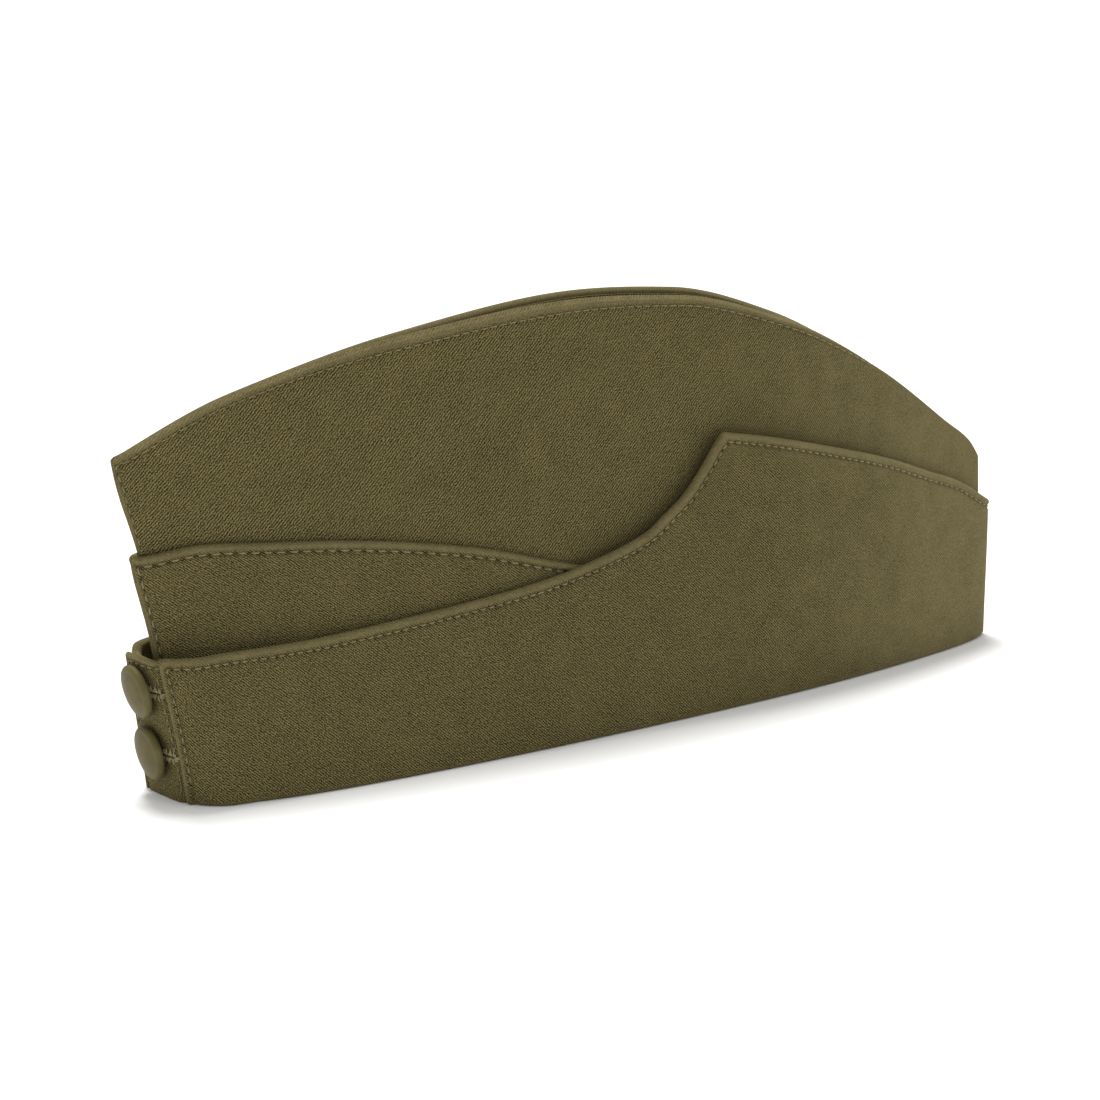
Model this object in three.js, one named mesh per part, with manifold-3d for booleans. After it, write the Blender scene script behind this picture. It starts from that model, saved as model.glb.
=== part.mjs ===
import * as THREE from 'three';
import { mergeVertices } from 'three/addons/utils/BufferGeometryUtils.js';
import Module from 'manifold-3d';

// Garrison cap standing on its lower rim, its curtain buttoned at the front.
// Millimetres. +X runs to the rear, -Y is the wearer's left and +Z is up.
// Every layer of cloth is laid on the crown's outer face, at a distance measured square to that face in plan.

// Crown
const crownLength = 267.4;
const crownWidth = 40;
const crownHeight = 114.1;
const ridgeWidth = 16;
const ridgeSkew = 3.5;
const frontOverhang = 18.4;
const crownCloth = 2;

// Folded gusset between the two ridges
const gussetCloth = 1.2;
const gussetDepth = 18;
const gussetDrop = 1.6;
const gussetSink = 5;

// Front flap, turned up against the crown
const flapHeight = 64;
const flapCloth = 1.6;

// Curtain, the turned-up band round the whole cap
const curtainFrontHeight = 38;
const curtainPeakHeight = 75;
const curtainRearHeight = 40.3;
const curtainCloth = 2;
const footRadius = 1.2;

// Front tab, which carries the buttonholes
const tabCloth = 1.4;
const tabDrop = 0.8;

// Buttons
const buttonDiameter = 14;
const buttonThickness = 3.4;
const lowerButtonHeight = 12;
const upperButtonHeight = 28.5;
const buttonTurn = THREE.MathUtils.degToRad(6);
const shankDiameter = 1.4;
const buttonholeLength = 8.9;

// Clearances
const plyGap = 0.4;
const seamGap = 0.3;
const shankGap = 0.3;
const buttonGap = 0.7;
const seatGap = 0.3;

// How far the curtain stands off the cloth under it
const sideEase = 0.4;
const frontFootEase = 0.1;
const frontTopEase = 1.3;
const rearFootEase = 0.05;
const rearTopEase = 0.5;

// Crown line over the ridge: share of the length, share of the height
const crownLine = [
  { along: 0, height: 0.7725 },
  { along: 0.12, height: 0.872 },
  { along: 0.3, height: 0.957 },
  { along: 0.5, height: 1 },
  { along: 0.62, height: 0.979 },
  { along: 0.74, height: 0.89 },
  { along: 0.86, height: 0.73 },
  { along: 0.95, height: 0.573 },
  { along: 0.985, height: 0.512 },
  { along: 1, height: 0.466 },
];

// Spread of the two ridges: share of the length, share of the ridge's width
const ridgeLine = [
  { along: 0, width: 0.42 },
  { along: 0.06, width: 0.4 },
  { along: 0.15, width: 0.38 },
  { along: 0.36, width: 0.69 },
  { along: 0.5, width: 0.85 },
  { along: 0.62, width: 0.86 },
  { along: 0.76, width: 0.97 },
  { along: 0.9, width: 0.7 },
  { along: 1, width: 0.44 },
];

// Flap's top edge: share of the crown's length, share of the flap's height
const flapLine = [
  { along: 0, height: 0.978 },
  { along: 0.05, height: 1 },
  { along: 0.12, height: 0.976 },
  { along: 0.2, height: 0.941 },
  { along: 0.32, height: 0.851 },
  { along: 0.43, height: 0.715 },
  { along: 0.5, height: 0.635 },
  { along: 0.58, height: 0.4 },
  { along: 0.66, height: 0.12 },
];

// Curtain's edge: share of the crown's length, share of the rise from the front or rear height to the peak
const curtainRise = [
  { along: 0, rise: 0 },
  { along: 0.12, rise: 0.003 },
  { along: 0.2, rise: 0.03 },
  { along: 0.31, rise: 0.096 },
  { along: 0.39, rise: 0.16 },
  { along: 0.45, rise: 0.243 },
  { along: 0.51, rise: 0.364 },
  { along: 0.54, rise: 0.485 },
  { along: 0.565, rise: 0.604 },
  { along: 0.59, rise: 0.775 },
  { along: 0.61, rise: 0.928 },
  { along: 0.622, rise: 1 },
];
const curtainFall = [
  { along: 0.622, rise: 1 },
  { along: 0.67, rise: 0.922 },
  { along: 0.76, rise: 0.737 },
  { along: 0.84, rise: 0.549 },
  { along: 0.9, rise: 0.373 },
  { along: 0.95, rise: 0.227 },
  { along: 1, rise: 0 },
];

// Places round the loop: 0 is the front centre, 1 the rear centre, negative values the left side
const leftSeamShare = 0.093;
const underlapShare = 0.075;
const tabEndShare = 0.17;
const tabFreeShare = 0.085;
const joggleShare = 0.04;
const easeShare = 0.45;

// Reach of the gusset along the crown, and the share over which each end dives between the panels
const gussetStartShare = 0.15;
const gussetEndShare = 0.945;
const gussetTaperShare = 0.12;

// Plan roundness at the foot and at the ridge: a smaller power is a blunter end
const noseFootPower = 0.23;
const noseRidgePower = 0.42;
const noseCreasePower = 0.14;
const curtainFillPower = 0.04;
const curtainFillShare = 0.35;
const tailFootPower = 0.5;
const tailRidgePower = 0.34;
const stationPowerFront = 2.6;
const stationPowerRear = 2;

// Where the inner faces of the two panels would cross, they are rounded off to nothing over this distance
const pinch = 0.3;

// Share of the height above which the ridges are skewed
const skewStart = 0.6;

// Front edge of the crown: share of the overhang that is straight lean, the rest is hollow curve
const frontStraightShare = 0.62;

// Fineness of the faceting: the stations are closer together from the front centre to the nose turn
const noseTurn = 0.3;
const roundSteps = 3;
const buttonSegments = 28;

const wasm = await Module();
wasm.setup();

const lerp = THREE.MathUtils.lerp;
const smooth = (t) => THREE.MathUtils.smoothstep(t, 0, 1);
const peakAlong = curtainFall[0].along;
const footTop = curtainCloth;
const crownFoot = footTop + plyGap;
const lapRise = curtainCloth + plyGap;
const buttons = { button_lower: lowerButtonHeight, button_upper: upperButtonHeight };

// Smooth curve through a table, with no overshoot between its rows
function through(table, column) {
  const x = table.map((row) => row.along);
  const y = table.map((row) => row[column]);
  const last = x.length - 1;
  const slope = (i) => (y[i + 1] - y[i]) / (x[i + 1] - x[i]);
  const tangent = x.map((_, i) => {
    if (i === 0) return slope(0);
    if (i === last) return slope(last - 1);
    const [before, after] = [slope(i - 1), slope(i)];
    return before * after > 0 ? (2 * before * after) / (before + after) : 0;
  });
  return (along) => {
    let i = 0;
    while (i < last - 1 && along > x[i + 1]) i += 1;
    const span = x[i + 1] - x[i];
    const t = (along - x[i]) / span;
    const [t2, t3] = [t * t, t * t * t];
    return (2 * t3 - 3 * t2 + 1) * y[i] + (t3 - 2 * t2 + t) * span * tangent[i]
      + (3 * t2 - 2 * t3) * y[i + 1] + (t3 - t2) * span * tangent[i + 1];
  };
}

const crownShare = through(crownLine, 'height');
const ridgeShare = through(ridgeLine, 'width');
const flapShare = through(flapLine, 'height');
const riseShare = through(curtainRise, 'rise');
const fallShare = through(curtainFall, 'rise');

const ridgeHeight = (along) => crownHeight * crownShare(along);
const flapTop = (along) => flapHeight * flapShare(along);

function curtainTop(along) {
  return along < peakAlong
    ? lerp(curtainFrontHeight, curtainPeakHeight, riseShare(along))
    : lerp(curtainRearHeight, curtainPeakHeight, fallShare(along));
}

// Share of the crown's length at a place round the loop, with stations gathered at both ends
function alongAt(turn) {
  const front = turn ** stationPowerFront;
  return front / (front + (1 - turn) ** stationPowerRear);
}

// Front edge of the crown, leaning forward as it rises
function crownFront(z) {
  const t = z / ridgeHeight(0);
  return -frontOverhang * (frontStraightShare * t + (1 - frontStraightShare) * t * t);
}

// Half plan of the crown at one height, drawn in by a depth: distance from the front foot and half width.
// The crown's front is creased at mid height, and the curtain's is a rounder loop ahead of it.
function halfPlan(turn, depth, z, onCurtain) {
  const along = alongAt(turn);
  const rise = z / ridgeHeight(along);
  const middle = 4 * rise * (1 - rise);
  const crease = lerp(noseFootPower, noseRidgePower, smooth(rise)) + noseCreasePower * middle;
  const tail = lerp(tailFootPower, tailRidgePower, smooth(rise));
  const fill = (noseCreasePower + curtainFillPower) * middle * (1 - smooth(along / curtainFillShare));
  const widest = crease / (crease + tail);
  const power = onCurtain ? crease - fill : crease;
  const fullness = (along / widest) ** power * ((1 - along) / (1 - widest)) ** tail;
  const x = lerp(crownFront(z) + depth, crownLength - depth, along);
  const half = (lerp(crownWidth, ridgeWidth * ridgeShare(along), rise) / 2) * fullness - depth;
  return [x, depth > 0 ? (half + Math.hypot(half, pinch)) / 2 : half];
}

// How far the upper crown is drawn to the rear on the right side and to the front on the left
function skew(turn, side, z) {
  const along = alongAt(turn);
  const upper = smooth((z / ridgeHeight(along) - skewStart) / (1 - skewStart));
  return side * ridgeSkew * upper * 4 * along * (1 - along);
}

// Point on a layer: out is the distance outside the plan, or the depth inside it when negative.
// Minus zero is the front centre of a left piece.
function place(loop, out, z, seam, onCurtain = false) {
  const turn = Math.abs(loop);
  const side = loop < 0 || Object.is(loop, -0) ? -1 : 1;
  if (out <= 0) {
    const [x, half] = halfPlan(turn, -out, z, onCurtain);
    return new THREE.Vector3(x + skew(turn, side, z), side * (half + seam), z);
  }
  const step = 1e-3;
  const [x, half] = halfPlan(turn, 0, z, onCurtain);
  const [x0, half0] = halfPlan(Math.max(turn - step, 0), 0, z, onCurtain);
  const [x1, half1] = halfPlan(Math.min(turn + step, 1), 0, z, onCurtain);
  const length = Math.hypot(x1 - x0, half1 - half0);
  const y = half + (out * (x1 - x0)) / length;
  const shift = skew(turn, side, z) - (out * (half1 - half0)) / length;
  return new THREE.Vector3(x + shift, side * (y + seam), z);
}

// Closed solid swept round the loop: ringAt gives the section's corners as points and as flat out, z pairs
function sweep(loops, ringAt) {
  const rings = loops.map(ringAt);
  const count = rings[0].length;
  const index = [];
  rings.slice(1).forEach((_, s) => {
    for (let i = 0; i < count; i += 1) {
      const [a, b] = [s * count + i, s * count + ((i + 1) % count)];
      index.push(a, b, b + count, a, b + count, a + count);
    }
  });
  const cap = (ring, offset, flip) => {
    const contour = ring.map((corner) => corner.flat);
    for (const face of THREE.ShapeUtils.triangulateShape(contour, [])) {
      const [a, b, c] = flip ? [face[0], face[2], face[1]] : face;
      index.push(offset + a, offset + b, offset + c);
    }
  };
  const flipped = THREE.ShapeUtils.isClockWise(rings[0].map((corner) => corner.flat));
  cap(rings[0], 0, !flipped);
  cap(rings[rings.length - 1], (rings.length - 1) * count, flipped);
  const geometry = new THREE.BufferGeometry();
  const corners = rings.flat().flatMap((corner) => corner.point.toArray());
  geometry.setAttribute('position', new THREE.Float32BufferAttribute(corners, 3));
  geometry.setIndex(index);
  return facingOut(geometry);
}

// Turns every face round when the solid's signed volume is negative
function facingOut(geometry) {
  const position = geometry.getAttribute('position');
  const index = geometry.getIndex();
  const corner = (i) => new THREE.Vector3().fromBufferAttribute(position, index.getX(i));
  let volume = 0;
  for (let i = 0; i < index.count; i += 3) volume += corner(i).dot(corner(i + 1).cross(corner(i + 2)));
  if (volume < 0) index.array.reverse();
  return geometry;
}

// Section of one thick layer: rows up the outer face, a rolled edge, and rows down the inner face
function layerSection(inner, cloth, foot, top, rows) {
  const roll = cloth / 2;
  const shoulder = top - roll;
  const section = [];
  for (let i = 0; i <= rows; i += 1) {
    const z = lerp(foot, shoulder, i / rows);
    section.push([inner(z) + cloth, z]);
  }
  const centre = inner(shoulder) + roll;
  for (let i = 1; i < roundSteps; i += 1) {
    const angle = (Math.PI * i) / roundSteps;
    section.push([centre + roll * Math.cos(angle), shoulder + roll * Math.sin(angle)]);
  }
  for (let i = rows; i >= 0; i -= 1) {
    const z = lerp(foot, shoulder, i / rows);
    section.push([inner(z), z]);
  }
  return section;
}

// Curtain's foot turned inward under the crown: a rounded outer corner and a flat lip
function turnedFoot(inner) {
  const corner = [[-crownCloth, 0]];
  const centre = inner(0) + curtainCloth - footRadius;
  for (let i = 0; i < roundSteps; i += 1) {
    const angle = (Math.PI / 2) * (1 - i / roundSteps);
    corner.push([centre + footRadius * Math.cos(angle), footRadius * (1 - Math.sin(angle))]);
  }
  return corner;
}

function ringFrom(section, pointAt) {
  return section.map(([out, z]) => ({ point: pointAt(out, z), flat: new THREE.Vector2(out, z) }));
}

// Loop places from one end to the other, evenly spread between the given stops
function stations(stops, counts) {
  const list = [stops[0]];
  counts.forEach((count, k) => {
    for (let i = 1; i <= count; i += 1) list.push(lerp(stops[k], stops[k + 1], i / count));
  });
  return list;
}

// Loop place that holds a share of the crown's length
function turnAt(along) {
  let [low, high] = [0, 1];
  for (let i = 0; i < 40; i += 1) {
    const middle = (low + high) / 2;
    if (alongAt(middle) < along) low = middle;
    else high = middle;
  }
  return low;
}

// Stand-off of the curtain's inner face from the crown, before any lap at the front
function underCurtain(turn, z) {
  const along = alongAt(turn);
  const flapEnd = flapLine[flapLine.length - 1].along;
  const cover = 1 - smooth((along - flapEnd) / (1 - flapEnd));
  const height = z / curtainTop(along);
  const front = 1 - smooth(turn / easeShare);
  const rear = smooth((along - peakAlong) / (1 - peakAlong));
  return plyGap + (flapCloth + plyGap) * cover + sideEase * (1 - rear)
    + front * lerp(frontFootEase, frontTopEase, height * height)
    + rear * lerp(rearFootEase, rearTopEase, height);
}

// How much of the right end lies under the tab, and how much of the tab under the left end
const overUnderlap = (loop) => 1 - smooth((-loop - underlapShare) / joggleShare);
const overTab = (loop) => 1 - smooth((-loop - tabEndShare) / (2 * joggleShare));
const tabInner = (loop, z) => underCurtain(Math.abs(loop), z) + lapRise * overUnderlap(loop);

function leftCurtainInner(loop, z) {
  return tabInner(loop, z) + (tabCloth + plyGap) * overTab(loop);
}

function crownPanel(side) {
  const rows = 7;
  return sweep(stations([0, noseTurn, 1], [12, 24]), (turn) => {
    const section = layerSection(() => -crownCloth, crownCloth, crownFoot, ridgeHeight(alongAt(turn)), rows);
    return ringFrom(section, (out, z) => place(side * turn, out, z, seamGap / 2));
  });
}

// Gusset folded down between the ridges: a deep trough whose walls follow the crown's inner faces
function gusset() {
  const wallSteps = 4;
  const [start, end] = [gussetStartShare, gussetEndShare];
  return sweep(stations([turnAt(start), turnAt(end)], [30]), (turn) => {
    const along = alongAt(turn);
    const ends = smooth((along - start) / gussetTaperShare) * smooth((end - along) / gussetTaperShare);
    const top = ridgeHeight(along) - gussetDrop - gussetSink * (1 - ends);
    const depth = lerp(gussetDepth / 3, gussetDepth, ends);
    const wall = (cloth, fold, side) => (i) => {
      const sink = i / wallSteps;
      const z = top - (depth - fold) * sink;
      const [x, half] = halfPlan(turn, crownCloth + plyGap + cloth, top, false);
      const y = side * Math.max(half, seamGap / 2) * Math.sqrt(1 - sink * sink);
      const shift = skew(turn, side, top);
      return { point: new THREE.Vector3(x + shift, y, z), flat: new THREE.Vector2(y, z) };
    };
    const down = [...Array(wallSteps).keys()];
    const up = [...down].reverse();
    const fold = gussetCloth * 1.5;
    const outer = [wall(0, 0, 1), wall(0, 0, -1)];
    const inner = [wall(gussetCloth, fold, -1), wall(gussetCloth, fold, 1)];
    return [
      ...down.map(outer[0]), outer[0](wallSteps), ...up.map(outer[1]),
      ...down.map(inner[0]), inner[0](wallSteps), ...up.map(inner[1]),
    ];
  });
}

function frontFlap(side) {
  const rows = 5;
  const end = turnAt(flapLine[flapLine.length - 1].along);
  return sweep(stations([0, noseTurn, end], [12, 12]), (turn) => {
    const section = layerSection(() => plyGap, flapCloth, crownFoot, flapTop(alongAt(turn)), rows);
    return ringFrom(section, (out, z) => place(side * turn, out, z, seamGap / 2));
  });
}

// One side of the curtain, from the rear seam to its front end
function curtainSide(loops, innerAt, pointAt, drop) {
  const rows = 6;
  return sweep(loops, (loop) => {
    const top = curtainTop(alongAt(Math.abs(loop))) - drop(loop);
    const inner = (z) => innerAt(loop, z);
    const section = layerSection(inner, curtainCloth, footRadius, top, rows);
    section[section.length - 1][1] = footTop;
    section.push([-crownCloth, footTop]);
    return ringFrom([...turnedFoot(inner), ...section], (out, z) => pointAt(loop, out, z));
  });
}

function leftCurtain() {
  const peak = turnAt(peakAlong);
  const loops = stations([1, peak, noseTurn, leftSeamShare].map((turn) => -turn), [16, 12, 10]);
  const pointAt = (loop, out, z) => place(loop, out, z, seamGap / 2, true);
  return curtainSide(loops, leftCurtainInner, pointAt, () => 0);
}

// Right side runs on round the front, where it lies under the tab
function rightCurtain() {
  const peak = turnAt(peakAlong);
  const loops = stations([1, peak, noseTurn, leftSeamShare, 0, -underlapShare], [16, 12, 6, 5, 4]);
  const inner = (loop, z) => underCurtain(Math.abs(loop), z);
  const pointAt = (loop, out, z) => place(loop, out, z, crossingSeam(loop), true);
  const underTab = (loop) => 2 * tabDrop * (1 - smooth((loop - tabFreeShare) / joggleShare));
  return curtainSide(loops, inner, pointAt, underTab);
}

// Half of the rear seam's gap, fading to none where a layer crosses the front centre
const crossingSeam = (loop) => (seamGap / 2) * smooth(Math.abs(loop) / leftSeamShare);

function frontTab() {
  const rows = 8;
  const stops = [tabFreeShare, 0, -underlapShare, -leftSeamShare - joggleShare, -tabEndShare];
  const tab = sweep(stations(stops, [6, 6, 6, 4]), (loop) => {
    const hidden = smooth((-loop - underlapShare) / (leftSeamShare - underlapShare));
    const foot = crownFoot * hidden;
    const top = curtainTop(alongAt(Math.abs(loop))) - tabDrop;
    const section = layerSection((z) => tabInner(loop, z), tabCloth, foot, top, rows);
    return ringFrom(section, (out, z) => place(loop, out, z, crossingSeam(loop), true));
  });
  return Object.values(buttons).reduce((cut, height) => subtract(cut, buttonhole(height)), tab);
}

function solidOf(geometry) {
  const bare = new THREE.BufferGeometry();
  bare.setAttribute('position', geometry.getAttribute('position').clone());
  bare.setIndex(geometry.getIndex());
  const merged = mergeVertices(bare);
  return new wasm.Manifold(new wasm.Mesh({
    numProp: 3,
    vertProperties: merged.getAttribute('position').array,
    triVerts: Uint32Array.from(merged.getIndex().array),
  }));
}

function subtract(geometry, cutter) {
  const result = solidOf(geometry).subtract(solidOf(cutter)).getMesh();
  const cut = new THREE.BufferGeometry();
  cut.setAttribute('position', new THREE.BufferAttribute(result.vertProperties, 3));
  cut.setIndex(new THREE.BufferAttribute(result.triVerts, 1));
  return cut;
}

// Middle of the tab's outer face at a height, and the direction square to it
function tabFront(height) {
  const step = 0.5;
  const at = (z) => place(0, tabInner(0, z) + tabCloth, z, 0, true);
  const rise = at(height + step).sub(at(height - step)).normalize();
  return { centre: at(height), face: new THREE.Vector3(-rise.z, 0, rise.x) };
}

// Straight buttonhole with round ends, cut level through the tab from the shank to the left
function buttonhole(height) {
  const radius = shankDiameter / 2 + shankGap;
  const run = buttonholeLength - 2 * radius;
  const outline = new THREE.Shape();
  outline.moveTo(0, radius);
  outline.absarc(-run, 0, radius, Math.PI / 2, (Math.PI * 3) / 2);
  outline.absarc(0, 0, radius, -Math.PI / 2, Math.PI / 2);
  const reach = crownWidth / 2;
  const cutter = new THREE.ExtrudeGeometry(outline, { depth: reach, bevelEnabled: false, curveSegments: 6 });
  cutter.applyMatrix4(new THREE.Matrix4().makeBasis(
    new THREE.Vector3(0, 1, 0), new THREE.Vector3(0, 0, 1), new THREE.Vector3(1, 0, 0),
  ));
  const { centre } = tabFront(height);
  cutter.translate(centre.x - reach / 4, 0, height);
  const bare = new THREE.BufferGeometry();
  bare.setAttribute('position', cutter.getAttribute('position'));
  return mergeVertices(bare);
}

// Covered button: domed face, round rim and the thread shank that passes through the buttonhole
function button() {
  const radius = buttonDiameter / 2;
  const rim = buttonThickness / 3;
  const shank = buttonGap + tabCloth + plyGap - seatGap;
  const profile = [[0, -shank], [shankDiameter / 2, -shank], [shankDiameter / 2, 0], [radius - rim, 0]];
  for (let i = 1; i < 2 * roundSteps; i += 1) {
    const angle = (Math.PI * i) / (2 * roundSteps);
    profile.push([radius - rim + rim * Math.sin(angle), rim - rim * Math.cos(angle)]);
  }
  for (let i = 0; i <= roundSteps; i += 1) {
    const t = i / roundSteps;
    profile.push([(radius - rim) * (1 - t), lerp(2 * rim, buttonThickness, 1 - (1 - t) ** 2)]);
  }
  const outline = profile.map(([r, h]) => new THREE.Vector2(Math.abs(r), h));
  const lathe = new THREE.LatheGeometry(outline, buttonSegments);
  const bare = new THREE.BufferGeometry();
  bare.setAttribute('position', lathe.getAttribute('position'));
  bare.setIndex(lathe.getIndex());
  return facingOut(mergeVertices(bare));
}

function cloth(color) {
  return new THREE.MeshStandardMaterial({ color, roughness: 0.92, metalness: 0 });
}

function named(name, geometry, material) {
  const mesh = new THREE.Mesh(geometry, material);
  mesh.name = name;
  return mesh;
}

const cap = new THREE.Group();
cap.add(
  named('crown_left', crownPanel(-1), cloth(0x685e3b)),
  named('crown_right', crownPanel(1), cloth(0x685e3b)),
  named('crown_top', gusset(), cloth(0x5f5636)),
  named('front_flap_left', frontFlap(-1), cloth(0x665c3a)),
  named('front_flap_right', frontFlap(1), cloth(0x665c3a)),
  named('curtain_left', leftCurtain(), cloth(0x6a603d)),
  named('curtain_right', rightCurtain(), cloth(0x6a603d)),
  named('front_tab', frontTab(), cloth(0x675d3b)),
);
for (const [name, height] of Object.entries(buttons)) {
  const { centre, face } = tabFront(height);
  const finish = new THREE.MeshStandardMaterial({ color: 0x615739, roughness: 0.6, metalness: 0 });
  const disc = named(name, button(), finish);
  const axis = face.clone().applyAxisAngle(new THREE.Vector3(0, 0, 1), -buttonTurn);
  disc.quaternion.setFromUnitVectors(new THREE.Vector3(0, 1, 0), axis);
  disc.position.copy(centre).addScaledVector(face, buttonGap);
  cap.add(disc);
}

// Origin in the middle of the cap's footprint, on the surface that it stands on
cap.updateMatrixWorld(true);
const bounds = new THREE.Box3().setFromObject(cap, true);
const middle = bounds.getCenter(new THREE.Vector3());
cap.position.set(-middle.x, -middle.y, -bounds.min.z);
cap.updateMatrixWorld(true);

export default cap;
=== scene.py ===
"""Garrison cap in olive wool twill, standing on its lower rim.

Every layer of cloth lies on one form: the crown's outer face, in plan an asymmetric rounded lens that narrows
towards the ridge. A layer is that face moved outward by a distance measured square to it in plan. The form's
sizes are those of the construction model, in millimetres; meshes are written in metres.
"""

import logging
import math
from dataclasses import dataclass, field
from enum import Enum
from typing import Callable, Sequence

import bpy
import numpy as np
from mathutils import Matrix, Vector
from mathutils.geometry import tessellate_polygon


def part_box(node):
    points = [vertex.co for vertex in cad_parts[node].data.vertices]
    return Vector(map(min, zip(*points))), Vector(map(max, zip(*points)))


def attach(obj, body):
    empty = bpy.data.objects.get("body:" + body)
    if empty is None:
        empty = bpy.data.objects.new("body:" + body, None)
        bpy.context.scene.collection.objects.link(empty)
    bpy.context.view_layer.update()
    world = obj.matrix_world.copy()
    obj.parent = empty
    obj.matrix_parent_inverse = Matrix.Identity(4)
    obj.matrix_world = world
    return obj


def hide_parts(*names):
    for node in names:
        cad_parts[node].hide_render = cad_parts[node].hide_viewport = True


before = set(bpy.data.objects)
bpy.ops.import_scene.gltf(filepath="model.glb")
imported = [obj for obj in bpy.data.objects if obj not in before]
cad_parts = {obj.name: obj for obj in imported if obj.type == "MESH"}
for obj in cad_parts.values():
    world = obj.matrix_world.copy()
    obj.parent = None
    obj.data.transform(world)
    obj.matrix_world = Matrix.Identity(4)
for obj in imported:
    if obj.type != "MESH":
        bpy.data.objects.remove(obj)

Array = np.ndarray
MM = 0.001
LOG = logging.getLogger("garrison_cap")
WEAVE_MAP = "weave"
# Point attribute of rubbing and painted light: rolls lighter from rubbing and a painted highlight, inner face
# under the edge painted lighter against its shade, stitch lines painted darker as shade
RUB_AND_PAINTED_LIGHT = "rubbing_and_painted_light"
CLOTH_SLOT = "wool_cloth"
BUTTON_SLOT = "button_face"

# Places round half a loop at which lengths are tabled
TURNS = np.linspace(0.0, 1.0, 4001)

# Corners round a thread, and rings along it
THREAD_SIDES = 7
THREAD_STEPS = 6

# Rows round the quarter circle of a fold, and samples across the distance that a line runs inside an edge
FOLD_ROWS = 7
EDGE_SAMPLES = 41


class Side(Enum):
    """Wearer's side; the value is the sign of y."""

    LEFT = -1
    RIGHT = 1

    @property
    def word(self) -> str:
        """The side as it stands in a piece's name."""
        return self.name.lower()


class End(Enum):
    """How a layer's vertical end is finished."""

    BUTTED = "butted"
    FOLDED = "folded"


def smooth(t: Array) -> Array:
    """Smoothstep: 3t^2 - 2t^3, with t held between 0 and 1."""
    t = np.clip(t, 0.0, 1.0)
    return t * t * (3.0 - 2.0 * t)


def mix(a: Array, b: Array, t: Array) -> Array:
    """Straight blend from a to b."""
    return a + (b - a) * t


def bell(x: Array, width: float) -> Array:
    """Gaussian bump of height 1: exp(-(x / width)^2)."""
    return np.exp(-((x / width) ** 2))


def round_over(distance: Array, radius: float) -> Array:
    """Quarter-circle rise from 0 at an edge to 1 at one radius inside it."""
    t = np.clip(distance / radius, 0.0, 1.0)
    return np.sqrt(np.clip(1.0 - (1.0 - t) ** 2, 0.0, 1.0))


def running_length(path: Array) -> Array:
    """Length along a path from its first point to each."""
    return np.concatenate([[0.0], np.cumsum(np.linalg.norm(np.diff(path, axis=0), axis=1))])


def corner_fall(distance: Array, radius: float) -> Array:
    """How far a rounded corner lies below its edge: r - sqrt(r^2 - (r - a)^2) within one radius of the end."""
    inside = np.clip(1.0 - distance / radius, 0.0, 1.0)
    return radius * (1.0 - np.sqrt(1.0 - inside ** 2))


def from_end(values: Array, which: int) -> Array:
    """Values counted from one end of a layer: as they are from the first, and turned round from the other."""
    return values[::-1] if which else values


@dataclass(frozen=True)
class ShareCurve:
    """Smooth curve through a short table of shares, with no overshoot between its rows.

    A cubic Hermite curve whose tangent at each inner row is the harmonic mean of the two slopes beside it.
    """

    rows: tuple[tuple[float, float], ...]

    def __call__(self, along: Array) -> Array:
        """Height share at each place along the crown.

        Args:
            along: Shares of the crown's length.

        Returns:
            The curve's value at each of them.
        """
        x, y = np.array(self.rows, dtype=float).T
        slope = np.diff(y) / np.diff(x)
        before, after = slope[:-1], slope[1:]
        product = before * after
        total = np.where(before + after == 0.0, 1.0, before + after)
        inner = np.where(product > 0.0, 2.0 * product / total, 0.0)
        tangent = np.concatenate([slope[:1], inner, slope[-1:]])
        i = np.clip(np.searchsorted(x, along, side="left") - 1, 0, len(x) - 2)
        span = x[i + 1] - x[i]
        t = (along - x[i]) / span
        t2, t3 = t * t, t * t * t
        return ((2 * t3 - 3 * t2 + 1) * y[i] + (t3 - 2 * t2 + t) * span * tangent[i]
                + (3 * t2 - 2 * t3) * y[i + 1] + (t3 - t2) * span * tangent[i + 1])


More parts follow.
